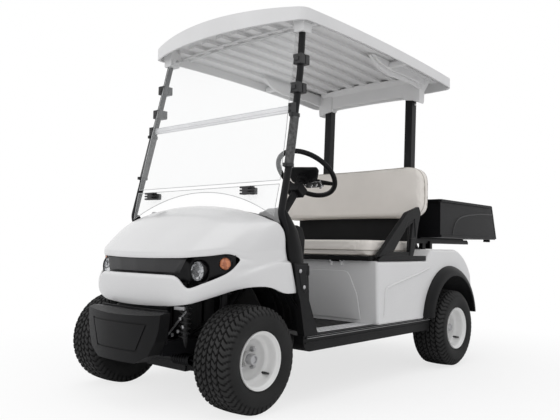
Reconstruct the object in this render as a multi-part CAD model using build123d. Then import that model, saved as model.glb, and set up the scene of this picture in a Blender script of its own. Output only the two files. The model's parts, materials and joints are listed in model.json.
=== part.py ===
from build123d import *
import os
from math import cos, radians, sin

# Two-seat electric golf cart with a roof, a folding windscreen and a tipping cargo box.
#
# Units are millimetres. +X is the vehicle's left, +Y its rear and +Z up. While the pieces are
# modelled, Y is counted from the front axle; every piece is moved by Y_SHIFT when it is written,
# so that the origin ends up on the floor, under the middle of the vehicle's bounding box.

# ---- Wheels and axles -------------------------------------------------------------------
WHEELBASE = 1670.0
FRONT_TRACK = 903.0
REAR_TRACK = 1035.0
TYRE_D = 452.0
TYRE_W = 205.0
TREAD_W = 150.0
RIM_LIP_D = 244.0
RIM_W = 192.0
RIM_BARREL_D = 212.0
RIM_SHEET = 4.0
DISC_DEPTH = 100.0          # outer lip to the wheel disc
HUB_D = 62.0
LUG_CIRCLE_D = 101.6
LUG_COUNT = 4
SPINDLE_D = 28.0
RUNNING = 0.05              # radial clearance of a shaft in its hole
SEAT_GAP = 0.3              # gap where a piece rests on one that moves or is soft

# ---- Steering and front suspension ------------------------------------------------------
KINGPIN_X = 316.0
STEER_ARM = 90.0            # kingpin to the steering link's pin
STEER_LOCK = 25.0           # degrees each way
STEER_RATIO = 14.0
LINK_Z = 198.0
LINK_D = 12.0
LINK_LENGTH = 166.0
RACK_HALF = 100.0
RACK_D = 40.0
BELLOWS_D = 54.0
BELLOWS_BORE_D = 41.0
BELLOWS_END = 212.0
STRUT_TUBE_D = 38.0
STRUT_TOP_Z = 500.0
SPRING_D = 74.0
PINION_X = 78.0             # steering pinion's tower, left of the middle
TOWER_H = 44.0
SPRING_TOP_Z = 640.0
ARM_Z = (140.0, 160.0)
WHEEL_D = 350.0
WHEEL_RIM_D = 26.0
WHEEL_CENTRE = (270.0, 620.0, 1083.0)
COLUMN_ANGLE = 50.0         # column above the horizontal, degrees
COLUMN_D = 40.0
HUB_STUB_D = 30.0           # steering wheel's shaft, in the end of the jacket

# ---- Chassis ----------------------------------------------------------------------------
RAIL_X = 200.0
RAIL_W = 40.0
RAIL_Z = (235.0, 295.0)
RAIL_KICK = 115.0
FLOOR_T = 6.0
FLOOR_HALF = 400.0
FLOOR_FRONT = 300.0
TOE_HALF = 335.0

SPRING_HALF = 280.0         # half length of a rear leaf spring
LEAF_T = 12.0

# ---- Body -------------------------------------------------------------------------------
NOSE_Y = -275.0             # foremost point of the cowl
COWL_HALF = 560.0
COWL_WALL = 8.0
HOOD_REAR_Y = 100.0
HOOD_TOP_Z = 893.0
DASH_HALF = 470.0
DASH_TOP_Z = 886.0
DASH_END_Z = 806.0
HOOD_INSET = 24.0           # hood behind the lower nose and fenders
MASK_TUCK = 10.0            # light mask hidden behind the edges of its opening
BUMPER_FACE_Y = -345.0
BUMPER_HALF = 262.0
BUMPER_DEPTH = 90.0
BUMPER_WALL = 8.0
SEAT_BASE_Y = 862.0
SEAT_BASE_Z = 632.0
BODY_HALF = 556.0
BODY_BOTTOM_Z = 304.5
RAMP_Y = 1395.0             # seat base to the foot of the ramp up to the deck
DECK_Y = 1455.0
DECK_Z = 698.0
BODY_TAIL_Y = 2024.0
TAIL_LEAN = 40.0            # tail's foot behind its top edge
TAIL_TOP_Z = 540.0
LENS_T = 14.0
BODY_WALL = 14.0
CHEEK_T = 18.0              # side walls of the rear body
WEB_T = 22.0                # body left above a wheel arch
ARCH_CENTRE = (1677.0, 268.0)
FLARE_R = 331.0
ARCH_R = 272.0
FLARE_IN = 500.0
FLARE_OUT = 600.0
WELL_X = 362.0              # inner face of the rear wheel wells
BAY_END = 1328.0            # rear face of the battery bay
SILL_X = (400.0, 560.0)
SILL_Z = (232.0, 304.0)
SILL_Y = (262.0, 1425.0)

# ---- Seat -------------------------------------------------------------------------------
SEAT_HALF = 515.0
SEAT_Y = (850.0, 1335.0)
SEAT_PAN_T = 22.0
SEAT_CUSHION_T = 88.0
HINGE_X = 300.0
HINGE_YZ = (852.0, 632.0)
HINGE_PIN_D = 12.0
BACK_HALF = 550.0
BACK_Z = (876.0, 1190.0)
BACK_Y = (1345.0, 1450.0)

# ---- Roof and its supports --------------------------------------------------------------
STRUT_D = 32.0
SLEEVE_D = 40.0
POST_W = 50.0
POST_X = 320.0
POST_BASE_Y = 1580.0
POST_TOP = (1618.0, 1660.0)
ROOF_HALF = 545.0
ROOF_Y = (270.0, 1752.0)
ROOF_BOW = 120.0
ROOF_FRONT_Z = 1752.0
ROOF_REAR_Z = 1712.0
ROOF_RIM = 50.0
ROOF_CROWN = 34.0
ROOF_WALL = 10.0
RIB_STEP = 110.0
RIB_DEPTH = 18.0

# ---- Cargo box --------------------------------------------------------------------------
BOX_HALF = 470.0
BOX_FRONT_Y = 1730.0
BOX_TOP_REAR_Y = 2535.0
BOX_REAR_Y = 2615.0
BOX_Z = (775.0, 1015.0)
BOX_WALL = 8.0
TAILGATE_T = 18.0
BED_PIVOT = (2450.0, 752.0)
BED_TILT = 45.0
TAILGATE_OPEN = 108.0
BED_RAIL_X = 300.0
BED_RAIL_Z = (737.0, 767.0)

TYRE_R = TYRE_D / 2
AXLE_Z = TYRE_R
Y_SHIFT = -(BUMPER_FACE_Y + BOX_REAR_Y) / 2


# ---- Small helpers ----------------------------------------------------------------------
def block(x, y, z):
    """Box between the low and high value given for each axis."""
    centre = [(low + high) / 2 for low, high in (x, y, z)]
    return Pos(*centre) * Box(*[high - low for low, high in (x, y, z)])


def rod(start, end, diameter):
    """Round bar between two points."""
    axis = Vector(*end) - Vector(*start)
    bar = Cylinder(diameter / 2, axis.length, align=(Align.CENTER, Align.CENTER, Align.MIN))
    return Plane(origin=start, z_dir=axis) * bar


def bent_tube(points, diameter, bend):
    """Round bar along straight runs joined by arcs."""
    path = FilletPolyline(*points, radius=bend)
    return sweep(Plane(origin=path @ 0, z_dir=path % 0) * Circle(diameter / 2), path)


def side_plate(outline, x):
    """Outline in (Y, Z), extruded along X."""
    face = make_face(outline if isinstance(outline, Curve) else Polyline(*outline, close=True))
    return extrude(Plane.YZ.offset(x[0]) * face, x[1] - x[0])


def plan_plate(outline, z):
    """Outline in (X, Y), extruded along Z."""
    face = make_face(outline if isinstance(outline, Curve) else Polyline(*outline, close=True))
    return extrude(Plane.XY.offset(z[0]) * face, z[1] - z[0])


def front_plate(outline, y):
    """Outline in (X, Z), extruded along Y."""
    plane = Plane(origin=(0, y[1], 0), x_dir=(1, 0, 0), z_dir=(0, -1, 0))
    face = make_face(outline if isinstance(outline, Curve) else Polyline(*outline, close=True))
    return extrude(plane * face, y[1] - y[0])


def lathe(profile, centre):
    """Profile of (X, radius) points, turned about the X-parallel axis through centre (Y, Z)."""
    face = make_face(profile if isinstance(profile, Curve) else Polyline(*profile, close=True))
    return Pos(0, *centre) * revolve(face, Axis.X)


def upright_lathe(profile, centre):
    """Profile of (radius, Z) points, turned about the vertical through centre (X, Y)."""
    face = Plane.XZ * make_face(Polyline(*profile, close=True))
    return Pos(*centre, 0) * revolve(face, Axis.Z)


def both_sides(shape):
    """The shape and its mirror image across the vehicle's middle."""
    return shape + mirror(shape, Plane.YZ)


def zigzag(start, end, inner, outer, count):
    """Outline points of a bellows or coil spring: station and radius, low, high, low."""
    step = (end - start) / count
    points = [(start, inner)]
    for i in range(count):
        points.append((start + (i + 0.5) * step, outer))
        points.append((start + (i + 1) * step, inner))
    return points


PARTS = {}


def keep(name, shape):
    """Registers a piece under its node's name."""
    PARTS[name] = shape


# ---- Chassis ----------------------------------------------------------------------------
def frame_rails():
    low, high = RAIL_Z
    front = BUMPER_FACE_Y + BUMPER_DEPTH
    kick_y, kick_run = 1345.0, 135.0
    outline = [
        (front, low),
        (kick_y, low),
        (kick_y + kick_run, low + RAIL_KICK),
        (BODY_TAIL_Y - 60, low + RAIL_KICK),
        (BODY_TAIL_Y - 60, high + RAIL_KICK),
        (kick_y + kick_run - 25, high + RAIL_KICK),
        (kick_y - 25, high),
        (front, high),
    ]
    return both_sides(side_plate(outline, (RAIL_X - RAIL_W / 2, RAIL_X + RAIL_W / 2)))


def crossmembers():
    """Tubes between the rails, and outriggers from the rails to the sills."""
    inner = RAIL_X - RAIL_W / 2
    outer = RAIL_X + RAIL_W / 2
    low, high = RAIL_Z[0] + 5, RAIL_Z[1] - 5
    members = None
    # columns: station, lift above the front rails
    for y, lift in ((-235, 0), (330, 0), (880, 0), (1290, 0), (1500, RAIL_KICK), (1905, RAIL_KICK)):
        bar = block((-inner, inner), (y - 20, y + 20), (low + lift, high + lift))
        members = bar if members is None else members + bar
    for y in (360, 860, 1250):
        members += both_sides(block((outer, SILL_X[0]), (y - 20, y + 20), (low, high)))
    subframe = block((-outer, outer), (-62, 62), (RAIL_Z[0] - 12, RAIL_Z[0]))
    subframe += block((-140, 140), (-62, 62), (ARM_Z[0] - 5, RAIL_Z[0] - 12))
    return members + subframe


def floor_panel():
    """Flat floor and battery tray, with the toe board and bulkhead between the wheel liners."""
    low = RAIL_Z[1]
    flat = block((-FLOOR_HALF, FLOOR_HALF), (FLOOR_FRONT, 1320), (low, low + FLOOR_T))
    toe = [
        (FLOOR_FRONT, low),
        (FLOOR_FRONT + 12, low + FLOOR_T),
        (121, 560),
        (121, 735),
        (115, 735),
        (115, 556),
    ]
    return flat + side_plate(toe, (-TOE_HALF, TOE_HALF)) - rod(*column_line(-900, 0), COLUMN_D + 22)


# ---- Front suspension and steering ------------------------------------------------------
def front_suspension():
    """Lower arms, spring towers, springs and damper rods of the two front struts."""
    arm_outline = [(128, -58), (128, 58), (KINGPIN_X - 14, 16), (KINGPIN_X - 14, -16)]
    arm = plan_plate(arm_outline, ARM_Z)
    arm -= plan_plate([(150, -32), (150, 32), (238, 14), (238, -14)], ARM_Z)
    arm += Pos(KINGPIN_X, 0, sum(ARM_Z) / 2) * Cylinder(20, ARM_Z[1] - ARM_Z[0] + 6)
    arm -= Pos(KINGPIN_X, 0, sum(ARM_Z) / 2) * Cylinder(10 + RUNNING, 60)
    arm -= block((0, 140), (-62, 62), (ARM_Z[0] - 5, RAIL_Z[0]))
    tower_x = (RAIL_X - 8, RAIL_X + 16)
    tower = block(tower_x, (34, 80), (RAIL_Z[1], SPRING_TOP_Z + 14))
    tower += block((tower_x[0], KINGPIN_X + 44), (-42, 80), (SPRING_TOP_Z, SPRING_TOP_Z + 14))
    coil = zigzag(STRUT_TOP_Z + 4, SPRING_TOP_Z, SPRING_D / 2 - 9, SPRING_D / 2, 6)
    profile = [(8, coil[0][0])] + [(r, z) for z, r in coil] + [(8, coil[-1][0])]
    tower += upright_lathe(profile, (KINGPIN_X, 0))
    tower += Pos(KINGPIN_X, 0, (STRUT_TOP_Z - 30 + SPRING_TOP_Z) / 2) * Cylinder(
        8, SPRING_TOP_Z - STRUT_TOP_Z + 30
    )
    return both_sides(arm) + both_sides(tower)


def knuckle(side):
    """Upright with its strut tube, lower pin, steering arm and wheel spindle."""
    body = Pos(KINGPIN_X, 0, (170 + STRUT_TOP_Z) / 2) * Cylinder(STRUT_TUBE_D / 2, STRUT_TOP_Z - 170)
    body += Pos(KINGPIN_X, 0, STRUT_TOP_Z - 8) * Cylinder(SPRING_D / 2 + 4, 6)
    body += Pos(KINGPIN_X, 0, 155) * Cylinder(10, 34)
    body += block((KINGPIN_X - 14, KINGPIN_X + 26), (-26, 26), (172, 284))
    arm_z = LINK_Z + 8
    body += block((KINGPIN_X - 12, KINGPIN_X + 12), (-STEER_ARM, -20), (arm_z, arm_z + 14))
    body += Pos(KINGPIN_X, -STEER_ARM, arm_z + 7) * Cylinder(14, 14)
    body += Pos(KINGPIN_X, -STEER_ARM, LINK_Z) * Cylinder(6, 20)
    disc_x = FRONT_TRACK / 2 + RIM_W / 2 - DISC_DEPTH
    body += rod((KINGPIN_X, 0, AXLE_Z), (disc_x + 24, 0, AXLE_Z), SPINDLE_D)
    body -= Pos(KINGPIN_X, 0, STRUT_TOP_Z - 10) * Cylinder(8 + RUNNING, 52)
    return body if side > 0 else mirror(body, Plane.YZ)


def steering_link(side):
    """Steering link from the knuckle's pin into the rack's bellows."""
    eye = Pos(KINGPIN_X, -STEER_ARM, LINK_Z) * Cylinder(13, 14)
    eye += rod((KINGPIN_X, -STEER_ARM, LINK_Z), (KINGPIN_X - LINK_LENGTH, -STEER_ARM, LINK_Z), LINK_D)
    eye -= Pos(KINGPIN_X, -STEER_ARM, LINK_Z) * Cylinder(6 + RUNNING, 40)
    return eye if side > 0 else mirror(eye, Plane.YZ)


def steering_rack():
    """Rack housing with its bellows, pinion tower and two clamps on the subframe."""
    inner = BELLOWS_BORE_D / 2
    fold = zigzag(RACK_HALF, BELLOWS_END, BELLOWS_D / 2 - 5, BELLOWS_D / 2, 7)
    bellows = lathe([(RACK_HALF, inner)] + fold + [(BELLOWS_END, inner)], (-STEER_ARM, LINK_Z))
    centre = (-STEER_ARM, LINK_Z)
    housing = lathe([(-RACK_HALF, 0), (-RACK_HALF, RACK_D / 2 + 3), (RACK_HALF, RACK_D / 2 + 3),
                     (RACK_HALF, 0)], centre)
    housing += both_sides(bellows)
    for x in (-70, 40):
        housing += block((x, x + 30), (-STEER_ARM, -62), (LINK_Z - 12, LINK_Z + 12))
    return housing + rod((PINION_X, -STEER_ARM, LINK_Z), (PINION_X, -STEER_ARM, LINK_Z + TOWER_H), 34)


def column_line(start, end):
    """Two points on the steering column's axis, by distance from the wheel's centre."""
    x, y, z = WHEEL_CENTRE
    along = (0, cos(radians(COLUMN_ANGLE)), sin(radians(COLUMN_ANGLE)))
    return [(x, y + d * along[1], z + d * along[2]) for d in (start, end)]


def steering_column():
    """Fixed column jacket with its switch pod, and the shaft down to the rack's pinion."""
    jacket = rod(*column_line(-880, -75), COLUMN_D)
    jacket -= rod(*column_line(-100, -60), HUB_STUB_D + 2 * RUNNING)
    foot = column_line(-880, 0)[0]
    shaft = rod(foot, (PINION_X, -STEER_ARM, LINK_Z + TOWER_H), 16)
    shaft -= block((PINION_X - 40, PINION_X + 40), (-STEER_ARM - 40, -STEER_ARM + 40),
                   (LINK_Z, LINK_Z + TOWER_H))
    pod_plane = Plane(origin=column_line(-150, 0)[0], x_dir=(1, 0, 0),
                      z_dir=(0, cos(radians(COLUMN_ANGLE)), sin(radians(COLUMN_ANGLE))))
    pod = pod_plane * fillet(Box(120, 78, 90).edges().filter_by(Axis.Z), 16)
    return jacket + shaft + pod


def steering_wheel():
    """Rim, three spokes and hub, on the column's axis."""
    wheel = Pos(0, 0, -42) * Cylinder(46, 26) + Pos(0, 0, -69) * Cylinder(HUB_STUB_D / 2, 50)
    reach = WHEEL_D / 2 - WHEEL_RIM_D / 2
    spoke_end = reach - WHEEL_RIM_D / 4
    spoke_side = [(30, -50), (spoke_end, -5), (spoke_end, 4), (30, -38)]
    # columns: spoke angle, width
    for angle, width in ((0, 34), (180, 34), (-90, 40)):
        spoke = extrude(Plane.XZ.offset(-width / 2) * make_face(Polyline(*spoke_side, close=True)), width)
        wheel += Rot(0, 0, angle) * spoke
    wheel += revolve(Plane.XZ * (Pos(reach, 0) * Circle(WHEEL_RIM_D / 2)), Axis.Z)
    plane = Plane(origin=WHEEL_CENTRE, x_dir=(1, 0, 0),
                  z_dir=(0, cos(radians(COLUMN_ANGLE)), sin(radians(COLUMN_ANGLE))))
    return plane * wheel


def pedals():
    """Brake and accelerator pads on arms hung from the dash."""
    # columns: middle, half width
    pads = None
    for x, half in ((215, 45), (110, 32)):
        pad = Plane(origin=(x, 262, 452), z_dir=(0, 0.8, 0.6)) * Box(2 * half, 96, 10)
        pad += rod((x, 262, 450), (x, 262, 711), 16)
        pads = pad if pads is None else pads + pad
    return pads


# ---- Wheels -----------------------------------------------------------------------------
def tyre(x, y):
    """Tyre as a ring with crowned tread, rounded shoulders and bulged side walls."""
    half = TYRE_W / 2
    bead = RIM_W / 2 - 6
    bore = RIM_BARREL_D / 2 + 0.2
    shoulder = RIM_LIP_D / 2 + 1
    with BuildLine() as line:
        ThreePointArc((-TREAD_W / 2, TYRE_R - 3), (0, TYRE_R), (TREAD_W / 2, TYRE_R - 3))
        ThreePointArc((TREAD_W / 2, TYRE_R - 3), (half - 8, TYRE_R - 17), (half, TYRE_R - 52))
        ThreePointArc((half, TYRE_R - 52), (half - 2, TYRE_R - 80), (bead, shoulder))
        Polyline((bead, shoulder), (bead, bore), (-bead, bore), (-bead, shoulder))
        ThreePointArc((-bead, shoulder), (2 - half, TYRE_R - 80), (-half, TYRE_R - 52))
        ThreePointArc((-half, TYRE_R - 52), (8 - half, TYRE_R - 17), (-TREAD_W / 2, TYRE_R - 3))
    return Pos(x, y, AXLE_Z) * revolve(make_face(line.line), Axis.X)


def rim(x, y, side, hub_bore, cap_length):
    """Deep-dish steel wheel: barrel, rolled lips, disc, hub, wheel nuts and dust cap."""
    half, lip, barrel = RIM_W / 2, RIM_LIP_D / 2, RIM_BARREL_D / 2
    disc = half - DISC_DEPTH
    outline = [
        (-half, lip - 2), (-half + 2, lip), (-half + 5, lip), (-half + 5, barrel), (half - 5, barrel),
        (half - 5, lip), (half - 2, lip), (half, lip - 2), (half, barrel - RIM_SHEET),
        (disc + 14, barrel - RIM_SHEET - 12), (disc + 6, HUB_D / 2), (disc + 6, 0), (disc - 6, 0),
        (disc - 6, HUB_D / 2 + 6), (disc + 2, barrel - RIM_SHEET - 20), (disc - 14, barrel - RIM_SHEET),
        (-half, barrel - RIM_SHEET),
    ]
    wheel = revolve(make_face(Polyline(*outline, close=True)), Axis.X)
    wheel += rod((disc - 46, 0, 0), (disc + 20, 0, 0), HUB_D)
    wheel += rod((disc + 20, 0, 0), (disc + 20 + cap_length, 0, 0), HUB_D - 18)
    for k in range(LUG_COUNT):
        angle = radians(45 + 360 * k / LUG_COUNT)
        cy, cz = LUG_CIRCLE_D / 2 * cos(angle), LUG_CIRCLE_D / 2 * sin(angle)
        wheel += rod((disc, cy, cz), (disc + 24, cy, cz), 21)
    wheel -= rod((disc - 60, 0, 0), (disc + 26, 0, 0), hub_bore + 2 * RUNNING)
    wheel = wheel if side > 0 else mirror(wheel, Plane.YZ)
    return Pos(x, y, AXLE_Z) * wheel


# ---- Rear axle --------------------------------------------------------------------------
def rear_drive():
    """Axle tube with its gear case, and the drive motor on the gear case's left side."""
    disc = REAR_TRACK / 2 + RIM_W / 2 - DISC_DEPTH
    flange = REAR_TRACK / 2 - RIM_W / 2 - 8
    axle = rod((-flange, WHEELBASE, AXLE_Z), (flange, WHEELBASE, AXLE_Z), 76)
    axle += rod((-disc - 24, WHEELBASE, AXLE_Z), (disc + 24, WHEELBASE, AXLE_Z), SPINDLE_D)
    for side in (-1, 1):
        axle += rod((side * (flange - 12), WHEELBASE, AXLE_Z), (side * flange, WHEELBASE, AXLE_Z), 180)
    axle += Pos(60, WHEELBASE, AXLE_Z) * Sphere(92)
    axle += rod((20, WHEELBASE - 90, AXLE_Z + 24), (120, WHEELBASE - 90, AXLE_Z + 24), 130)
    return axle + rod((-170, WHEELBASE - 90, AXLE_Z + 24), (22, WHEELBASE - 90, AXLE_Z + 24), 172)


def rear_suspension():
    """Leaf springs on the axle with their shackles, and the dampers inboard of them."""
    spring_x = (300, 350)
    top = AXLE_Z + 38
    sag = 26
    leaves = None
    # columns: half length, height of this leaf's top at the axle
    for half, base in ((SPRING_HALF, top + 2 * LEAF_T), (0.7 * SPRING_HALF, top + LEAF_T)):
        end = base + sag * (half / SPRING_HALF) ** 2
        with BuildLine() as line:
            ThreePointArc((-half, end), (0, base), (half, end))
            Line((half, end), (half, end - LEAF_T))
            ThreePointArc((half, end - LEAF_T), (0, base - LEAF_T), (-half, end - LEAF_T))
            Line((-half, end - LEAF_T), (-half, end))
        leaf = Pos(0, WHEELBASE, 0) * side_plate(line.line, spring_x)
        leaves = leaf if leaves is None else leaves + leaf
    for end in (-1, 1):
        y = WHEELBASE + end * (SPRING_HALF - 12)
        leaves += block((RAIL_X + RAIL_W / 2, 350), (y - 14, y + 14), (306, 372))
    damper = rod((262, WHEELBASE + 60, 262), (262, WHEELBASE + 110, 470), 34)
    damper += block((RAIL_X + RAIL_W / 2, 262), (WHEELBASE + 92, WHEELBASE + 122), (380, 410))
    damper += block((230, 294), (WHEELBASE + 30, WHEELBASE + 80), (240, 262))
    damper -= rod((0, WHEELBASE, AXLE_Z), (400, WHEELBASE, AXLE_Z), 76)
    return both_sides(leaves) + both_sides(damper)


# ---- Cowl, lamps and bumper -------------------------------------------------------------
def cowl_plan(inset, back):
    """Plan outline of the nose: front arc, corner arcs and sides; inset shrinks it evenly."""
    nose = NOSE_Y + inset
    front = (350, -205 + inset * 0.9)
    corner = (462 - inset * 0.7, -98 + inset * 0.7)
    side = (512 - inset, -6)
    rear = (COWL_HALF - inset, 210)
    with BuildLine() as line:
        ThreePointArc((-front[0] + inset * 0.4, front[1]), (0, nose), (front[0] - inset * 0.4, front[1]))
        ThreePointArc((front[0] - inset * 0.4, front[1]), corner, side)
        Polyline(side, rear, (rear[0], back), (-rear[0], back), (-rear[0], rear[1]), (-side[0], side[1]))
        ThreePointArc((-side[0], side[1]), (-corner[0], corner[1]), (-front[0] + inset * 0.4, front[1]))
    return line.line


def hood_top(inset):
    """Block under the hood's crowned top: cross-sections from the nose to the rear edge."""
    sections = []
    # columns: station, height in the middle, height at the sides
    stations = ((-300, 630, 575), (-245, 676, 588), (-190, 722, 604), (-120, 778, 634), (-60, 820, 664),
                (20, 866, 712), (HOOD_REAR_Y, 892, 762), (HOOD_REAR_Y + 90, 900, 790))
    for y, middle, edge in stations:
        half = 620
        with BuildLine() as line:
            ThreePointArc((-half, edge - inset), (0, middle - inset), (half, edge - inset))
            Polyline((half, edge - inset), (half, 300), (-half, 300), (-half, edge - inset))
        plane = Plane(origin=(0, y, 0), x_dir=(1, 0, 0), z_dir=(0, -1, 0))
        sections.append(plane * make_face(line.line))
    return loft(sections, ruled=True)


def cowl_form(inset):
    """Whole nose as a solid: hood on the wider lower nose and fenders."""
    lower = plan_plate(cowl_plan(inset, 320), (400, 612 - inset))
    hood = plan_plate(cowl_plan(HOOD_INSET + inset, 320), (400, 950)) & hood_top(inset)
    return lower + hood


def cowl_keep():
    """Side outline that the cowl is cut to: wheel arch below, screen line behind."""
    with BuildLine() as line:
        Line((-400, 430), (-280, 434))
        ThreePointArc((-280, 434), (-120, 496), (15, 528))
        ThreePointArc((15, 528), (95, 514), (150, 497))
        Polyline((150, 497), (212, 498), (180, 634), (152, 730), (HOOD_REAR_Y, 812), (HOOD_REAR_Y, 1000),
                 (-400, 1000), (-400, 430))
    return side_plate(line.line, (-700, 700))


def mask_outline(grow):
    """Front view of the black band with its two lamp pockets."""
    right = [
        (259, 577 - grow), (283 - grow, 559), (306 - grow, 521 - grow), (327, 517 - grow),
        (401, 553 - grow), (464 + grow, 590), (483 + grow, 646), (459, 668 + grow), (416, 660 + grow),
        (289, 647 + grow), (120, 643 + grow),
    ]
    return right + [(-x, z) for x, z in reversed(right)]


def front_cowl():
    shell = (cowl_form(0) & cowl_keep()) - cowl_form(COWL_WALL)
    return shell - front_plate(mask_outline(0), (-400, 20))


def light_mask():
    """Band of black plastic behind the cut-out, following the nose in plan."""
    band = plan_plate(cowl_plan(HOOD_INSET + 16, 320), (500, 690))
    band -= plan_plate(cowl_plan(HOOD_INSET + 24, 330), (490, 700))
    band &= front_plate(mask_outline(MASK_TUCK), (-400, 20))
    inside = cowl_form(COWL_WALL)
    # columns: height range of a tab that ties the band to the wall in front of it
    for z in ((648, 668), (556, 574)):
        for x in (-200, 200):
            band += block((x - 10, x + 10), (-262, -200), z) & inside
    for sizes in LAMPS.values():
        band -= lamp(*sizes, grow=SEAT_GAP)
    return band


LAMPS = {"headlamps": (340, 592, 42, -196, 0), "turn_lamps": (430, 622, 27, -120, 24)}


def lamp(x, z, radius, face_y, turn, grow=0.0):
    """Domed lens facing forward, turned outward by the given angle."""
    depth, dome = 42, 12
    radius += grow
    ball = (radius**2 + dome**2) / (2 * dome)
    lens = Pos(0, 0, depth / 2) * Cylinder(radius, depth)
    if grow == 0:
        lens &= Pos(0, 0, depth - ball) * Sphere(ball)
    placed = Pos(x, face_y + depth, z) * Rot(0, 0, turn) * Rot(90, 0, 0) * lens
    return both_sides(placed)


def front_bumper():
    """Hollow bumper with sloping top, recessed middle panel and two ribs onto the rails."""
    low, top = 203, 418
    outline = [(-130, low), (130, low), (205, 240), (238, 300), (254, 350), (BUMPER_HALF, 408),
               (BUMPER_HALF, top), (-BUMPER_HALF, top), (-BUMPER_HALF, 408), (-254, 350), (-238, 300),
               (-205, 240)]
    rear = BUMPER_FACE_Y + BUMPER_DEPTH

    def form(inset):
        with BuildLine() as line:
            ThreePointArc((-BUMPER_HALF - 10, BUMPER_FACE_Y + 42 + inset), (0, BUMPER_FACE_Y + inset),
                          (BUMPER_HALF + 10, BUMPER_FACE_Y + 42 + inset))
            Polyline((BUMPER_HALF + 10, BUMPER_FACE_Y + 42 + inset), (BUMPER_HALF + 10, rear + 1),
                     (-BUMPER_HALF - 10, rear + 1), (-BUMPER_HALF - 10, BUMPER_FACE_Y + 42 + inset))
        scale_x = (BUMPER_HALF - inset) / BUMPER_HALF
        middle = (low + top) / 2
        scale_z = (top - low - 2 * inset) / (top - low)
        small = [(x * scale_x, middle + (z - middle) * scale_z) for x, z in outline]
        return plan_plate(line.line, (150, 500)) & front_plate(small, (BUMPER_FACE_Y - 10, rear))

    solid = form(0)
    slope = side_plate([(BUMPER_FACE_Y - 20, 395), (BUMPER_FACE_Y + 75, 422), (BUMPER_FACE_Y + 75, 440),
                        (BUMPER_FACE_Y - 20, 440)], (-300, 300))
    shell = solid - slope - (form(BUMPER_WALL) - Pos(0, 0, -BUMPER_WALL) * slope)
    panel = [(-198, 373), (-142, 252), (142, 252), (198, 373)]
    inner = [(-187, 366), (-136, 259), (136, 259), (187, 366)]
    ring = front_plate(panel, (BUMPER_FACE_Y - 10, rear)) - front_plate(inner, (BUMPER_FACE_Y - 20, rear))
    shell -= (ring & solid) - form(4)
    rib = block((RAIL_X - 8, RAIL_X + 8), (BUMPER_FACE_Y, rear), (RAIL_Z[0], RAIL_Z[1]))
    return shell + (both_sides(rib) & solid)


# ---- Windscreen, struts and dash --------------------------------------------------------
# columns: half width, station, height of the strut's centre line, from the roof down
STRUT_LINE = ((479, 318, 1752), (503, 275, 1510), (528, 172, 1045), (532, 123, 845), (531, 190, 720),
              (531, 216, 596))


def struts():
    """Bent tubes from the kick panels to the roof, with a thicker sleeve beside the screen."""
    bar = bent_tube(STRUT_LINE, STRUT_D, 60)
    (xa, ya, za), (xb, yb, zb) = STRUT_LINE[1], STRUT_LINE[2]
    ends = []
    for z in (1300, 1060):
        t = (z - za) / (zb - za)
        ends.append((xa + t * (xb - xa), ya + t * (yb - ya), z))
    return both_sides(bar + rod(*ends, SLEEVE_D))


def screen_panel(low, high, lower_half, upper_half):
    """Flat clear panel in the screen's plane, 5 mm thick."""
    (xa, ya, za), (xb, yb, zb) = STRUT_LINE[0], STRUT_LINE[2]
    slope = (ya - yb) / (za - zb)

    def station(z):
        return yb + (z - zb) * slope - STRUT_D / 2 - 7

    face = [(station(low), low), (station(high), high), (station(high) + 5, high), (station(low) + 5, low)]
    sheet = side_plate(face, (-600, 600))
    return sheet & front_plate([(-lower_half, low), (lower_half, low), (upper_half, high),
                                (-upper_half, high)], (-200, 600))


def lower_screen():
    """Fixed lower panel, its foot cut to clear the hood."""
    panel = screen_panel(830, 950, 505, 512)
    return (panel - cowl_form(-3)).solids().sort_by(SortBy.VOLUME)[-1]


def windscreen_clips():
    """Rubber blocks on the struts that hold the panels, and two fold hinges between the panels."""
    clips = None
    # columns: half width, station, height
    for x, y, z in ((497, 291, 1569), (504, 264, 1429)):
        clip = block((x - 26, x + 26), (y - 34, y + 30), (z - 24, z + 24))
        clips = clip if clips is None else clips + clip
    clips -= bent_tube(STRUT_LINE, STRUT_D, 60)
    clips -= screen_panel(954, 1722, 512, 468)
    hinge = block((336, 372), (72, 134), (938, 966))
    hinge -= screen_panel(954, 1722, 512, 468)
    hinge -= screen_panel(824, 950, 470, 512)
    return both_sides(clips) + both_sides(hinge)


def crossbar():
    """Flat bar between the struts above the middle of the screen."""
    bar = block((-500, 500), (222, 234), (1312, 1344))
    return bar - both_sides(bent_tube(STRUT_LINE, STRUT_D, 60))


def dash():
    """Padded dash behind the hood, with its end lobes down beside the struts."""
    outline = [(128, 790), (128, 872), (150, 884), (300, 868), (372, 828), (366, 770), (300, 716),
               (200, 706), (138, 738)]
    body = side_plate(outline, (-DASH_HALF, DASH_HALF))
    body = fillet(body.edges().filter_by(Axis.X).filter_by(lambda e: e.center().Y > 290), 14)
    with BuildLine() as line:
        ThreePointArc((-DASH_HALF, DASH_END_Z), (0, DASH_TOP_Z), (DASH_HALF, DASH_END_Z))
        Polyline((DASH_HALF, DASH_END_Z), (DASH_HALF, 600), (-DASH_HALF, 600), (-DASH_HALF, DASH_END_Z))
    body &= front_plate(line.line, (100, 400))
    lobe = side_plate([(216, 640), (232, 800), (300, 800), (322, 740), (316, 640)], (DASH_HALF, 514))
    tie = block((505, 531), (167, 262), (690, 716)) + block((505, 531), (150, 250), (785, 805))
    body += both_sides(lobe + tie - bent_tube(STRUT_LINE, STRUT_D, 60))
    return body - rod(*column_line(-880, -75), COLUMN_D + 22)


def kick_panels():
    """Black side panels that tie the strut feet to the sills."""
    plate = side_plate([(214, 499), (186, 628), (284, 628), (294, 463), (356, 318), (356, SILL_Z[1] + 0.5),
                        (264, SILL_Z[1] + 0.5), (230, 460)], (520, COWL_HALF))
    return both_sides(plate - bent_tube(STRUT_LINE, STRUT_D, 60))


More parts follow.
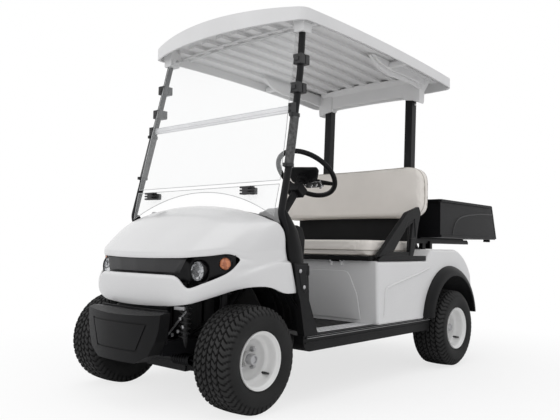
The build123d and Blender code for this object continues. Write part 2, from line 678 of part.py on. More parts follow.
def wheel_liners():
    """Panels behind and above the front tyres."""
    with BuildLine() as line:
        Polyline((322, 306), (322, 400))
        ThreePointArc((322, 400), (262, 486), (150, 512))
        Polyline((150, 512), (-120, 512), (-120, 506), (148, 506))
        ThreePointArc((148, 506), (256, 481), (316, 398))
        Polyline((316, 398), (316, 306), (322, 306))
    liner = side_plate(line.line, (TOE_HALF, 500))
    liner -= Pos(KINGPIN_X, 0, 500) * Cylinder(SPRING_D / 2 + 12, 100)
    return both_sides(liner & cowl_form(COWL_WALL + 1)) + both_sides(liner & behind_cowl())


def behind_cowl():
    """Space behind the cowl's lower rear edge."""
    return block((0, 700), (216, 400), (200, 600))


# ---- Rear body --------------------------------------------------------------------------
def rear_outline():
    """Side outline of the seat base, deck and tail."""
    with BuildLine() as line:
        Polyline((SEAT_BASE_Y + 10, BODY_BOTTOM_Z), (SEAT_BASE_Y, SEAT_BASE_Z), (RAMP_Y, SEAT_BASE_Z),
                 (DECK_Y, DECK_Z), (DECK_Y + 305, DECK_Z))
        tail = (BODY_TAIL_Y - TAIL_LEAN, TAIL_TOP_Z)
        ThreePointArc((DECK_Y + 305, DECK_Z), (DECK_Y + 435, 645), tail)
        Polyline(tail, (BODY_TAIL_Y, BODY_BOTTOM_Z), (SEAT_BASE_Y + 10, BODY_BOTTOM_Z))
    return line.line


def body_slab(low_x, high_x, spaces):
    """Slice of the rear body's left half between two X planes, less side outlines cut through it."""
    slab = side_plate(rear_outline(), (low_x, high_x))
    for space in spaces:
        slab -= side_plate(space, (low_x - 1, high_x + 1))
    return slab


def arch_outline(radius):
    """Wheel arch space: half round above the arch's centre, straight below it."""
    y, z = ARCH_CENTRE
    with BuildLine() as line:
        ThreePointArc((y - radius, z), (y, z + radius), (y + radius, z))
        Polyline((y + radius, z), (y + radius, 200), (y - radius, 200), (y - radius, z))
    return line.line


def box_outline_yz(y, z):
    """Rectangle in the side view."""
    return [(y[0], z[0]), (y[1], z[0]), (y[1], z[1]), (y[0], z[1])]


def deck_space(low_z):
    """Hollow below the deck, down to low_z."""
    front, rear, lid = BAY_END + BODY_WALL, BODY_TAIL_Y - 93, SEAT_BASE_Z - BODY_WALL
    return [(front, low_z), (front, lid), (DECK_Y - 50, lid), (DECK_Y + 8, DECK_Z - BODY_WALL),
            (DECK_Y + 300, DECK_Z - BODY_WALL), (DECK_Y + 400, DECK_Z - 45), (rear, low_z)]


def rear_body():
    """White seat base and tail, open below, with the battery bay and the rear wheel arches."""
    cheek = side_plate(rear_outline(), (BODY_HALF - CHEEK_T, BODY_HALF))
    long_edges = cheek.edges().filter_by(
        lambda e: abs(e.center().X - BODY_HALF) < 1 and e.center().Z > BODY_BOTTOM_Z + 90
    )
    cheek = fillet(long_edges, CHEEK_T - 2)
    flare_space = FLARE_R + SEAT_GAP
    cheek -= side_plate(arch_outline(flare_space), (BODY_HALF - CHEEK_T - 1, BODY_HALF + 1))
    bay = box_outline_yz((SEAT_BASE_Y + 24, BAY_END), (200, 800))
    arch_top = ARCH_CENTRE[1] + ARCH_R + WEB_T
    tunnel = box_outline_yz((BAY_END + BODY_WALL, BODY_TAIL_Y - 40), (200, arch_top))
    half = body_slab(0, WELL_X, [bay, tunnel, deck_space(arch_top)])
    half += body_slab(WELL_X, FLARE_IN, [bay, arch_outline(ARCH_R), deck_space(arch_top)])
    half += body_slab(FLARE_IN, BODY_HALF - CHEEK_T, [bay, arch_outline(flare_space)])
    half += cheek
    rail = RAIL_W / 2 + 3
    wall = (BAY_END - 5, BAY_END + BODY_WALL + 6)
    half -= block((RAIL_X - rail, RAIL_X + rail), wall, (200, RAIL_Z[1] + 45))
    half += hinge_ears()
    return both_sides(half)


def tail_lamps():
    """Lenses laid on the leaning tail, beside its corners."""
    run, rise = TAIL_LEAN, TAIL_TOP_Z - BODY_BOTTOM_Z
    z = 470
    y = BODY_TAIL_Y - TAIL_LEAN * (z - BODY_BOTTOM_Z) / rise
    plane = Plane(origin=(425, y, z), x_dir=(1, 0, 0), z_dir=(0, rise, run))
    lens = Pos(0, 0, LENS_T / 2) * fillet(Box(116, 62, LENS_T).edges().filter_by(Axis.Z), 22)
    return both_sides(plane * lens)


def fender_flares():
    """Black arch mouldings that swell outward over the rear tyres."""
    y, z = ARCH_CENTRE
    with BuildLine() as line:
        Polyline((FLARE_IN, ARCH_R), (FLARE_IN, FLARE_R), (BODY_HALF, FLARE_R))
        ThreePointArc((BODY_HALF, FLARE_R), (FLARE_OUT - 12, FLARE_R - 20), (FLARE_OUT, ARCH_R + 8))
        Polyline((FLARE_OUT, ARCH_R + 8), (FLARE_OUT, ARCH_R), (FLARE_IN, ARCH_R))
    ring = Pos(0, y, z) * revolve(make_face(line.line), Axis.X)
    ring &= block((0, 800), (y - 400, y + 400), (BODY_BOTTOM_Z + 0.5, z + 500))
    return both_sides(ring)


def sills():
    """Running boards with a rounded front corner and two long beads."""
    low, high = SILL_Z
    with BuildLine() as line:
        Polyline((SILL_Y[0] + 46, low), (SILL_Y[1], low), (SILL_Y[1], high), (SILL_Y[0], high),
                 (SILL_Y[0], low + 46))
        ThreePointArc((SILL_Y[0], low + 46), (SILL_Y[0] + 14, low + 14), (SILL_Y[0] + 46, low))
    sill = side_plate(line.line, (SILL_X[0], SILL_X[1] - 4))
    front = SILL_Y[0]
    sill -= plan_plate([(SILL_X[0] - 1, front - 1), (SILL_X[1] - 58, front - 1), (430, front + 42),
                        (SILL_X[0] - 1, front + 42)], (low - 1, high + 1))
    for z in (high - 14, high - 36):
        sill += block((SILL_X[1] - 5, SILL_X[1]), (SILL_Y[0] + 12, SILL_Y[1]), (z, z + 7))
    return both_sides(sill)


# ---- Seat -------------------------------------------------------------------------------
def seat_pan():
    low = SEAT_BASE_Z + SEAT_GAP
    pan = block((-SEAT_HALF - 12, SEAT_HALF + 12), (HINGE_YZ[0], SEAT_Y[1]), (low, low + SEAT_PAN_T))
    pan = fillet(pan.edges().filter_by(Axis.Z), 30)
    for x in (-HINGE_X, HINGE_X):
        pan += rod((x - 40, *HINGE_YZ), (x + 40, *HINGE_YZ), HINGE_PIN_D)
        for side in (-1, 1):
            ear = x + side * 34
            pin = HINGE_PIN_D / 2
            gap = (ear - 8, ear + 8)
            pan -= block(gap, (HINGE_YZ[0] + pin + 1, HINGE_YZ[0] + 18), (low - 1, low + 40))
            pan -= block(gap, (HINGE_YZ[0] - 20, HINGE_YZ[0] + 18), (low + pin, low + 40))
            pan -= ear_gap(ear)
    return pan


def ear_gap(x):
    """Ring of space around the hinge pin where a fixed ear stands."""
    space = rod((x - 8, *HINGE_YZ), (x + 8, *HINGE_YZ), 34)
    return space - rod((x - 9, *HINGE_YZ), (x + 9, *HINGE_YZ), HINGE_PIN_D)


def hinge_ears():
    """Fixed ears on the seat base, around the seat lid's pins."""
    y, z = HINGE_YZ
    ears = None
    for x in (HINGE_X - 34, HINGE_X + 34):
        ear = rod((x - 4, y, z), (x + 4, y, z), 22)
        ear += block((x - 4, x + 4), (y - 4, SEAT_BASE_Y + 6), (z - 26, z - 4))
        ears = ear if ears is None else ears + ear
    return ears - rod((HINGE_X - 60, y, z), (HINGE_X + 60, y, z), HINGE_PIN_D + 2 * RUNNING)


def seat_cushion():
    low = SEAT_BASE_Z + SEAT_GAP + SEAT_PAN_T + SEAT_GAP
    pad = block((-SEAT_HALF, SEAT_HALF), SEAT_Y, (low, low + SEAT_CUSHION_T))
    pad = fillet(pad.edges().filter_by(Axis.Z), 60)
    return fillet(pad.faces().sort_by(Axis.Z)[-1].edges(), 30)


def seat_back():
    pad = block((-BACK_HALF, BACK_HALF), BACK_Y, BACK_Z)
    pad = fillet(pad.edges().filter_by(Axis.Y), 70)
    return fillet(pad.faces().sort_by(Axis.Y)[0].edges(), 30)


def seat_back_panel():
    """Board behind the back cushion, on flared feet, tied to the roof posts."""
    board = (BACK_Y[1] + SEAT_GAP, BACK_Y[1] + 20)
    half = 450
    with BuildLine() as line:
        Polyline((-half - 30, DECK_Z + 0.5), (half + 30, DECK_Z + 0.5))
        ThreePointArc((half + 30, DECK_Z + 0.5), (half + 8, DECK_Z + 14), (half, DECK_Z + 42))
        Polyline((half, DECK_Z + 42), (half, BACK_Z[1] - 60), (-half, BACK_Z[1] - 60), (-half, DECK_Z + 42))
        ThreePointArc((-half, DECK_Z + 42), (-half - 8, DECK_Z + 14), (-half - 30, DECK_Z + 0.5))
    panel = front_plate(line.line, board)
    for z in (940, 1080):
        y = post_station(z) - POST_W / 2
        panel += both_sides(block((POST_X - 20, POST_X + 20), (board[1], y - 6), (z - 20, z + 20)))
    cut = both_sides(post_bar(0))
    return panel - cut


def armrests():
    """Side frames of the seat: a foot on the body, a raked front leg and a rear leg."""
    outer = [(880, SEAT_BASE_Z + 0.5), (1228, SEAT_BASE_Z + 0.5), (1262, 700), (1322, 905), (1300, 940),
             (1168, 900), (1095, 838), (920, 694)]
    hole = [(1030, 682), (1205, 682), (1240, 850), (1165, 815)]
    frame = side_plate(outer, (534, 552)) - side_plate(hole, (500, 600))
    frame += block((534, 552), (1228, RAMP_Y - 5), (SEAT_BASE_Z + 0.5, 660))
    return both_sides(frame)


# ---- Roof and rear posts ----------------------------------------------------------------
def post_station(z):
    """Station of a rear post's middle at a height."""
    y, top = POST_TOP
    return POST_BASE_Y + (z - DECK_Z) * (y - POST_BASE_Y) / (top - DECK_Z)


def post_bar(grow):
    half = POST_W / 2 + grow
    low, high = DECK_Z + 0.5, POST_TOP[1]
    outline = [(post_station(low) - half, low), (post_station(low) + half, low),
               (post_station(high) + half, high), (post_station(high) - half, high)]
    return side_plate(outline, (POST_X - half, POST_X + half))


def rear_posts():
    foot = block((POST_X - 45, POST_X + 45), (POST_BASE_Y - 45, POST_BASE_Y + 45), (DECK_Z + 0.5, DECK_Z + 8))
    return both_sides(post_bar(0) + foot)


def roof_beam():
    """Cross tube on the rear posts, with the brackets that hold the roof."""
    y, top = POST_TOP
    beam = block((-420, 420), (y - 20, y + 20), (top, top + 38))
    # brackets stand under four of the roof's ribs
    for x in (-3 * RIB_STEP, -RIB_STEP, RIB_STEP, 3 * RIB_STEP):
        bracket = block((x - 18, x + 18), (y - 30, y + 30), (top + 30, ROOF_FRONT_Z + 60))
        beam += bracket & roof_slab_below(RIB_DEPTH)
    return beam


def roof_plan(inset):
    front, rear = ROOF_Y
    half = ROOF_HALF - inset
    with BuildLine() as line:
        ThreePointArc((-half + 40, front - 30 + inset), (0, front - ROOF_BOW + inset),
                      (half - 40, front - 30 + inset))
        ThreePointArc((half - 40, front - 30 + inset), (half - 12, front - 12 + inset), (half, front + 30))
        Line((half, front + 30), (half, rear - 60))
        ThreePointArc((half, rear - 60), (half - 16, rear - 18 - inset), (half - 60, rear - inset))
        ThreePointArc((half - 60, rear - inset), (0, rear + 22 - inset), (-half + 60, rear - inset))
        ThreePointArc((-half + 60, rear - inset), (-half + 16, rear - 18 - inset), (-half, rear - 60))
        Line((-half, rear - 60), (-half, front + 30))
        ThreePointArc((-half, front + 30), (-half + 12, front - 12 + inset), (-half + 40, front - 30 + inset))
    return line.line


def roof_slab(low, high):
    """Crowned slab between two heights above the roof's lower edge, wider than the roof."""
    sections = []
    rise = ROOF_CROWN if low > 0 else 1.0
    # columns: station, height of the lower edge there
    for y, base in ((ROOF_Y[0] - 200, ROOF_FRONT_Z - 12), (700, ROOF_FRONT_Z + 2),
                    (ROOF_Y[1] + 100, ROOF_REAR_Z - 4)):
        half = 600
        with BuildLine() as line:
            ThreePointArc((-half, base + high), (0, base + high + ROOF_CROWN), (half, base + high))
            Line((half, base + high), (half, base + low))
            ThreePointArc((half, base + low), (0, base + low + rise), (-half, base + low))
            Line((-half, base + low), (-half, base + high))
        plane = Plane(origin=(0, y, 0), x_dir=(1, 0, 0), z_dir=(0, -1, 0))
        sections.append(plane * make_face(line.line))
    return loft(sections)


def roof_form(inset):
    return plan_plate(roof_plan(inset), (1600, 1950)) & roof_slab(-1 if inset == 0 else -60, ROOF_RIM - inset)


def roof():
    """Moulded roof: crowned top, deep rim, ribbed underside and sockets over the struts."""
    shell = roof_form(0) - roof_form(ROOF_WALL)
    inner = roof_form(ROOF_WALL)
    ribs = None
    for k in range(9):
        x = (k - 4) * RIB_STEP
        rib = block((x - 22, x + 22), (ROOF_Y[0] + 60, ROOF_Y[1] - 60), (ROOF_REAR_Z, 1850))
        ribs = rib if ribs is None else ribs + rib
    ribs = (ribs & inner) - roof_slab_below(RIB_DEPTH)
    socket = both_sides(block((445, 512), (285, 350), (1716, 1850))) & roof_form(0)
    shell = shell + ribs + socket
    return shell - both_sides(bent_tube(STRUT_LINE, STRUT_D, 60))


def roof_slab_below(depth):
    """Space under the roof skin, deeper than the ribs."""
    return roof_slab(-200, ROOF_RIM - ROOF_WALL - depth)


# ---- Cargo box --------------------------------------------------------------------------
def box_lean():
    return (BOX_REAR_Y - BOX_TOP_REAR_Y) / (BOX_Z[1] - BOX_Z[0])


def box_outline(inset, rear_gap):
    """Side outline of the box body, with its leaning tail edge."""
    low, high = BOX_Z
    rear_low = BOX_REAR_Y - rear_gap
    return [(BOX_FRONT_Y + inset, low + inset), (rear_low - box_lean() * inset, low + inset),
            (BOX_TOP_REAR_Y - rear_gap, high), (BOX_FRONT_Y + inset, high)]


def cargo_box():
    """Floor, front and sides of the box, with the arch pressed into each side."""
    gap = TAILGATE_T + 5
    body = side_plate(box_outline(0, gap), (-BOX_HALF, BOX_HALF))
    inside = [(BOX_FRONT_Y + BOX_WALL, BOX_Z[0] + BOX_WALL), (BOX_REAR_Y + 50, BOX_Z[0] + BOX_WALL),
              (BOX_REAR_Y + 50, BOX_Z[1] + 50), (BOX_FRONT_Y + BOX_WALL, BOX_Z[1] + 50)]
    body -= side_plate(inside, (-BOX_HALF + BOX_WALL, BOX_HALF - BOX_WALL))
    rail = BED_RAIL_Z[1] + 0.5
    for x in (-BED_RAIL_X, BED_RAIL_X):
        body += block((x - 15, x + 15), (BOX_FRONT_Y + 30, BED_PIVOT[0] - 60), (rail, BOX_Z[0]))
    lug = side_plate([(BED_PIVOT[0] - 16, 740), (BED_PIVOT[0] + 16, 740), (BED_PIVOT[0] + 16, BOX_Z[0]),
                      (BED_PIVOT[0] - 16, BOX_Z[0])], (BED_RAIL_X - 40, BED_RAIL_X - 24))
    lug -= rod((0, *BED_PIVOT), (500, *BED_PIVOT), 16 + 2 * RUNNING)
    body += both_sides(lug)
    ear = block((380, 396), (BOX_REAR_Y - 26, BOX_REAR_Y - 2), (758, BOX_Z[0] + 1))
    ear += rod((380, BOX_REAR_Y - 12, 766), (424, BOX_REAR_Y - 12, 766), 10)
    return body + both_sides(ear)


def tailgate():
    """Leaning tail panel hung on two pins below its lower edge."""
    low, high = BOX_Z[0] + 6, BOX_Z[1]
    lean = box_lean()
    rear = BOX_REAR_Y
    outline = [(rear - lean * 6 - TAILGATE_T, low), (rear - lean * 6, low),
               (BOX_TOP_REAR_Y, high), (BOX_TOP_REAR_Y - TAILGATE_T, high)]
    panel = side_plate(outline, (-BOX_HALF, BOX_HALF))
    lug = block((401, 419), (rear - 22, rear), (757, low + 4))
    lug -= rod((300, BOX_REAR_Y - 12, 766), (500, BOX_REAR_Y - 12, 766), 10 + 2 * RUNNING)
    return panel + both_sides(lug)


def bed_frame():
    """Rails under the box, on legs from the deck, with the pivot pins at the rear."""
    low, high = BED_RAIL_Z
    pivot_y, pivot_z = BED_PIVOT
    rail = [(1640, low), (pivot_y + 14, low), (pivot_y + 14, pivot_z + 2), (pivot_y - 6, high), (1640, high)]
    side = side_plate(rail, (BED_RAIL_X - 18, BED_RAIL_X + 18))
    side += block((BED_RAIL_X - 14, BED_RAIL_X + 14), (1790, 1830), (DECK_Z - 30, low))
    side -= rear_body_zone()
    side += block((BED_RAIL_X - 14, BED_RAIL_X + 14), (1650, 1690), (DECK_Z + 0.5, low))
    side += rod((BED_RAIL_X - 44, *BED_PIVOT), (BED_RAIL_X - 10, *BED_PIVOT), 16)
    bars = None
    for y in (1700, 2080):
        bar = block((-BED_RAIL_X + 18, BED_RAIL_X - 18), (y - 15, y + 15), (low, high - 2))
        bars = bar if bars is None else bars + bar
    return both_sides(side) + bars


def rear_body_zone():
    return side_plate(rear_outline(), (-BODY_HALF, BODY_HALF))


def battery_pack():
    """Six batteries in two rows on the floor tray."""
    length, width, height = 255, 180, 270
    pack = None
    base = RAIL_Z[1] + FLOOR_T + 0.3
    for row in range(2):
        for column in (-1, 0, 1):
            cell = Pos(column * (length + 8), 935 + width / 2 + row * (width + 8), base + height / 2) * Box(
                length, width, height)
            pack = cell if pack is None else pack + cell
    return pack


# ---- Assembly ---------------------------------------------------------------------------
keep("frame_rails", frame_rails())
keep("crossmembers", crossmembers())
keep("floor_panel", floor_panel())
keep("front_suspension", front_suspension())
keep("steering_rack", steering_rack())
keep("steering_column", steering_column())
keep("steering_wheel", steering_wheel())
keep("pedals", pedals())
keep("knuckle_left", knuckle(1))
keep("knuckle_right", knuckle(-1))
keep("steering_link_left", steering_link(1))
keep("steering_link_right", steering_link(-1))
# columns: node ending, side, half track, station, dust cap length
for end, side, track, y, cap in (
    ("front_left", 1, FRONT_TRACK, 0, 34),
    ("front_right", -1, FRONT_TRACK, 0, 34),
    ("rear_left", 1, REAR_TRACK, WHEELBASE, 14),
    ("rear_right", -1, REAR_TRACK, WHEELBASE, 14),
):
    keep("tyre_" + end, tyre(side * track / 2, y))
    keep("rim_" + end, rim(side * track / 2, y, side, SPINDLE_D, cap))
keep("rear_drive", rear_drive())
keep("rear_suspension", rear_suspension())
keep("battery_pack", battery_pack())
keep("front_cowl", front_cowl())
keep("light_mask", light_mask())
for name, sizes in LAMPS.items():
    keep(name, lamp(*sizes))
keep("front_bumper", front_bumper())
keep("struts", struts())
keep("windscreen_lower", lower_screen())
keep("windscreen_upper", screen_panel(954, 1722, 512, 468))
keep("windscreen_clips", windscreen_clips())
keep("crossbar", crossbar())
keep("dash", dash())
keep("kick_panels", kick_panels())
keep("wheel_liners", wheel_liners())
keep("rear_body", rear_body())
keep("tail_lamps", tail_lamps())
keep("fender_flares", fender_flares())
keep("sills", sills())
keep("seat_pan", seat_pan())
keep("seat_cushion", seat_cushion())
keep("seat_back", seat_back())
keep("seat_back_panel", seat_back_panel())
keep("armrests", armrests())
keep("rear_posts", rear_posts())
keep("roof_beam", roof_beam())
keep("roof", roof())
keep("cargo_box", cargo_box())
keep("tailgate", tailgate())
keep("bed_frame", bed_frame())

os.makedirs("parts", exist_ok=True)
for name, shape in PARTS.items():
    export_step(Pos(0, Y_SHIFT, 0) * shape, f"parts/{name}.step")
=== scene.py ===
import json
from math import cos, radians, sin, pi

import bmesh
import bpy
from mathutils import Matrix, Vector


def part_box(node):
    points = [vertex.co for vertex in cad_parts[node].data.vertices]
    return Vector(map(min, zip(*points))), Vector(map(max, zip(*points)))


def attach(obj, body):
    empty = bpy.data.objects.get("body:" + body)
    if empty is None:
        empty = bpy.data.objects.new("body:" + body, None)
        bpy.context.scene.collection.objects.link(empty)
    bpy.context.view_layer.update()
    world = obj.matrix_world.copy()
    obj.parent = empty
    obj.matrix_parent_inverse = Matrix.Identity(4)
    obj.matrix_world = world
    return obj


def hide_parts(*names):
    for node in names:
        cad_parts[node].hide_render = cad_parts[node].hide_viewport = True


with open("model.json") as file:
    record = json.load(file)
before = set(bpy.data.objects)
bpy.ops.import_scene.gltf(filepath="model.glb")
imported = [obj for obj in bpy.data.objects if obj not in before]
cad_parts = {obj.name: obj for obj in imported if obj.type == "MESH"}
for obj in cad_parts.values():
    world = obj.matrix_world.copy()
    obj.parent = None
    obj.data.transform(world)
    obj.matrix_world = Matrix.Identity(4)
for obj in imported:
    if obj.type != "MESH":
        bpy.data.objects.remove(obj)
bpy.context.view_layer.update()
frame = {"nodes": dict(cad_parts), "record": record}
scene = bpy.context.scene
SHIFT = -1.135              # frame Y of the front axle
AXLE_Z = .226               # height of the axles
SHARP = 42                  # angle, in degrees, past which an edge is shaded sharp


def put(name, data):
    """New object in the scene."""
    obj = bpy.data.objects.new(name, data)
    scene.collection.objects.link(obj)
    return obj


# ---- Camera ----
yaw, pitch, roll = radians(41.149), radians(3.26), radians(.955)
ahead = Vector((-sin(yaw) * cos(pitch), cos(yaw) * cos(pitch), sin(pitch)))
side = Vector((cos(yaw), sin(yaw), 0))
rise = side.cross(ahead)
right = cos(roll) * side + sin(roll) * rise
up = -sin(roll) * side + cos(roll) * rise
lens = bpy.data.cameras.new("photo_camera")
lens.sensor_width = 36
lens.lens = 40.79
lens.clip_end = 200
camera = put("photo_camera", lens)
camera.matrix_world = Matrix.Translation((2.3438, -3.092, .7025)) @ Matrix((right, up, -ahead)).transposed().to_4x4()
scene.camera = camera
scene.view_settings.view_transform = "Standard"


# ---- Materials ----
def nodes_of(name):
    m = bpy.data.materials.new(name)
    m.use_nodes = True
    return m, m.node_tree, m.node_tree.nodes["Principled BSDF"]


def node(tree, kind, **values):
    n = tree.nodes.new("ShaderNode" + kind)
    for key, value in values.items():
        if key in n.inputs:
            n.inputs[key].default_value = value
        else:
            setattr(n, key, value)
    return n


def feed(n, values):
    """Fill a node's inputs: a socket is linked to its input, anything else is the input's value."""
    for key, value in values.items():
        if isinstance(value, bpy.types.NodeSocket):
            n.id_data.links.new(value, n.inputs[key])
        else:
            n.inputs[key].default_value = value
    return n


def texture(tree, kind, **values):
    """Texture fed by the object's own coordinates."""
    return feed(node(tree, "Tex" + kind, **values), {"Vector": node(tree, "TexCoord").outputs["Object"]})


def ramp(tree, value, low, high, stops=(0, 1)):
    """Colour between two colours, by a value."""
    n = feed(node(tree, "ValToRGB"), {"Fac": value})
    for element, color, stop in zip(n.color_ramp.elements, (low, high), stops):
        element.color, element.position = (*color, 1), stop
    return n.outputs["Color"]


def bump_by(tree, shader, height, strength):
    bumps = feed(node(tree, "Bump", Strength=strength, Distance=.001), {"Height": height})
    feed(shader, {"Normal": bumps.outputs["Normal"]})


def finish(name, color, rough, grain=900.0, bump=.05, spread=.06, patch=6, metal=0, coat=0, spec=.5):
    """Surface with broad colour patches, uneven gloss and a fine grain."""
    m, tree, shader = nodes_of(name)
    broad = texture(tree, "Noise", Scale=patch, Detail=3).outputs["Fac"]
    fine = texture(tree, "Noise", Scale=grain, Detail=2).outputs["Fac"]
    dark = [c * (1 - spread) for c in color]
    light = [min(1, c * (1 + spread)) for c in color]
    limits = {"To Min": max(.03, rough - .06), "To Max": min(1, rough + .06)}
    gloss = feed(node(tree, "MapRange"), {"Value": fine, **limits})
    bump_by(tree, shader, fine, bump)
    feed(shader, {"Base Color": ramp(tree, broad, dark, light, (.3, .7)), "Roughness": gloss.outputs["Result"],
                  "Metallic": metal, "Coat Weight": coat, "Specular IOR Level": spec})
    return m


def lens_finish(name, color, alpha, rough=.08):
    """Clear or tinted moulding with a faint ripple."""
    m, tree, shader = nodes_of(name)
    wave = texture(tree, "Noise", Scale=30, Detail=2).outputs["Fac"]
    bump_by(tree, shader, wave, .02)
    feed(shader, {"Base Color": ramp(tree, wave, [c * .94 for c in color], color), "Alpha": alpha,
                  "Roughness": rough})
    return m


def darker(m, attribute, color):
    """Blend a finish's colour towards another one by a mesh attribute."""
    tree = m.node_tree
    base = tree.nodes["Principled BSDF"].inputs["Base Color"]
    depth = node(tree, "Attribute", attribute_name=attribute)
    blend = feed(node(tree, "Mix", data_type="RGBA"), {"Factor": depth.outputs["Fac"]})
    sockets = {s.name: s for s in blend.inputs if s.type == "RGBA"}
    tree.links.new(base.links[0].from_socket, sockets["A"])
    sockets["B"].default_value = (*color, 1)
    tree.links.new([s for s in blend.outputs if s.type == "RGBA"][0], base)
    return m


def facets(m, scale, low, high, stops=(0, 1)):
    """Colour a material in small cells from a dark to a light colour: painted light and shade of small facets."""
    tree = m.node_tree
    cells = texture(tree, "Voronoi", Scale=scale).outputs["Color"]
    feed(tree.nodes["Principled BSDF"], {"Base Color": ramp(tree, cells, low, high, stops)})
    return m


def reflector_finish():
    """Pressed bright reflector: its facets' reflections are painted, as small cells from dark to bright."""
    m, tree, shader = nodes_of("reflector")
    feed(shader, {"Metallic": .5, "Roughness": .25})
    return facets(m, 105.0, (.05, .05, .055), (.85, .86, .88), (.15, .75))


def amber_finish():
    """Amber lens with cells painted darker and lighter: painted light and shade of its pressed optics."""
    return facets(lens_finish("lamp_amber", (.5, .12, .04), .97, .2), 85.0, (.16, .035, .015),
                  (.72, .27, .13))


# columns: name, colour, roughness, what differs from the usual finish
FINISHES = (
    ("white_body", (.7, .7, .7), .28, dict(bump=.01, spread=.015, coat=.3)),
    ("roof_white", (.72, .72, .72), .42, dict(bump=.03, spread=.02)),
    ("black_plastic", (.009, .009, .0095), .42, dict(grain=1400, bump=.25, spread=.2, spec=.12)),
    ("gloss_black", (.006, .006, .007), .2, dict(bump=.01, spread=.2, spec=.2)),
    ("black_metal", (.007, .007, .008), .38, dict(grain=1000, bump=.12, spread=.2, spec=.16)),
    ("floor_mat", (.035, .035, .035), .7, dict(bump=.4, spread=.25, spec=.2)),
    ("tyre", (.015, .015, .015), .62, dict(grain=700, bump=.3, spread=.25, spec=.14)),
    ("tread", (.034, .034, .034), .62, dict(grain=700, bump=.3, spread=.25, spec=.11)),
    ("rim", (.8, .8, .79), .35, dict(bump=.04, spread=.03)),
    ("drive", (.12, .12, .125), .6, dict(grain=350, bump=.5, spread=.2, metal=.4)),
    ("battery", (.05, .05, .055), .5, dict(bump=.2, spread=.2)),
    ("bare_aluminium", (.8, .8, .81), .35, dict(grain=500, bump=.1, spread=.05, metal=.3)),
    ("seat_vinyl", (.82, .78, .73), .55, dict(grain=1100, bump=.3, spread=.03)),
    ("box_black", (.007, .007, .008), .45, dict(bump=.4, spread=.25, spec=.14)),
    ("chrome", (.8, .8, .8), .16, dict(grain=200, spread=.04, metal=1)),
    ("grey_plastic", (.5, .5, .5), .5, dict(bump=.1, spread=.05)),
    ("clip_grey", (.03, .03, .031), .45, dict(bump=.1, spread=.2, spec=.3)),
    ("satin_black", (.028, .028, .029), .4, dict(grain=1500, bump=.2, spread=.15, spec=.35)),
    ("mottled", (.075, .075, .075), .6, dict(grain=260, bump=.6, spread=.55, patch=70.0, spec=.3)),
    ("bolt", (.45, .45, .46), .35, dict(metal=.8)),
    ("sheet_edge", (.5, .51, .51), .3, dict(bump=.02)),
    # painted highlight for the sill's beads
    ("bead_highlight", (.27, .27, .27), .4, {}),
    ("seam", (.42, .39, .35), .6, dict(bump=.2)),
)
# columns: name, colour, alpha, roughness
LENSES = (("lamp_clear", (.75, .77, .8), .35, .08), ("lamp_red", (.45, .02, .02), .95, .2),
          ("clear_screen", (.93, .95, .95), .1, .03), ("head_glass", (.8, .82, .84), .1, .04))
MAT = {name: finish(name, color, rough, **more) for name, color, rough, more in FINISHES}
MAT.update({row[0]: lens_finish(*row) for row in LENSES})
MAT.update(lamp_amber=amber_finish(), reflector=reflector_finish())
darker(MAT["tread"], "groove_shade_wall_tone", (.004, .004, .004))   # painted shade in the tread's grooves, and a darker rubber tone on the side walls
darker(MAT["rim"], "dish_shade", (.25, .25, .25))          # painted shade, darker towards the bottom of the dish
# slot of the record that a finer material belongs to
slot_of = {s["node"]: s["material_slot"] for s in frame["record"]["subparts"]}
for name, obj in frame["nodes"].items():
    if not obj.data.materials:
        obj.data.materials.append(None)
    for slot in obj.material_slots:
        slot.material = MAT[slot_of[name]]


# ---- Mesh helpers: Y is counted from the front axle, unless they say otherwise ----
def smoothed(mesh, angle=SHARP):
    mesh.shade_smooth()
    mesh.set_sharp_from_angle(angle=radians(angle))
    return mesh


def built_mesh(name, material, build, both=False):
    """Mesh made by a bmesh builder; both adds its mirror image."""
    bm = bmesh.new()
    build(bm)
    if both:
        twin = bmesh.ops.duplicate(bm, geom=bm.verts[:] + bm.edges[:] + bm.faces[:])["geom"]
        bmesh.ops.scale(bm, vec=(-1, 1, 1), verts=[g for g in twin if isinstance(g, bmesh.types.BMVert)])
    bmesh.ops.recalc_face_normals(bm, faces=bm.faces)
    mesh = bpy.data.meshes.new(name)
    bm.to_mesh(mesh)
    bm.free()
    mesh.materials.append(MAT[material])
    return smoothed(mesh)


def piece(material, body="chassis", replaces=None, bevel=0, segments=2, both=False):
    """Decorator: the piece of the scene that the function builds and names, with its hard edges rounded."""
    def make(build):
        name = build.__name__
        obj = put(name, built_mesh(name, material, build, both))
        if bevel:
            cut = obj.modifiers.new("round", "BEVEL")
            cut.width, cut.segments, cut.limit_method, cut.angle_limit = bevel, segments, "ANGLE", radians(35)
            cut.harden_normals = True
        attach(obj, body)
        if replaces:
            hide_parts(replaces)
        return obj
    return make


def skin(bm, rings, around=True):
    """Quads between rings of vertices; around also joins each ring's ends."""
    for r, s in zip(rings, rings[1:]):
        for k in range(len(r) if around else len(r) - 1):
            j = (k + 1) % len(r)
            bm.faces.new((r[k], r[j], s[j], s[k]))


def cap(bm, rings):
    """Close the two ends of a skin."""
    bm.faces.new(rings[0][::-1])
    bm.faces.new(rings[-1])


def sheet(bm, rows, closed=False):
    """Surface through rows of points; closed makes a solid of them as closed sections."""
    rings = [[bm.verts.new(from_axle(*p)) for p in row] for row in rows]
    skin(bm, rings, closed)
    if closed:
        cap(bm, rings)


def from_axle(x, y, z):
    return Vector((x, y + SHIFT, z))


def about(middle, half):
    return middle - half, middle + half


def brick(bm, x, y, z, place=from_axle):
    """Box between two corners."""
    v = [bm.verts.new(place(a, b, c)) for c in z for b in y for a in x]
    for f in ((0, 2, 3, 1), (4, 5, 7, 6), (0, 1, 5, 4), (2, 6, 7, 3), (0, 4, 6, 2), (1, 3, 7, 5)):
        bm.faces.new([v[i] for i in f])


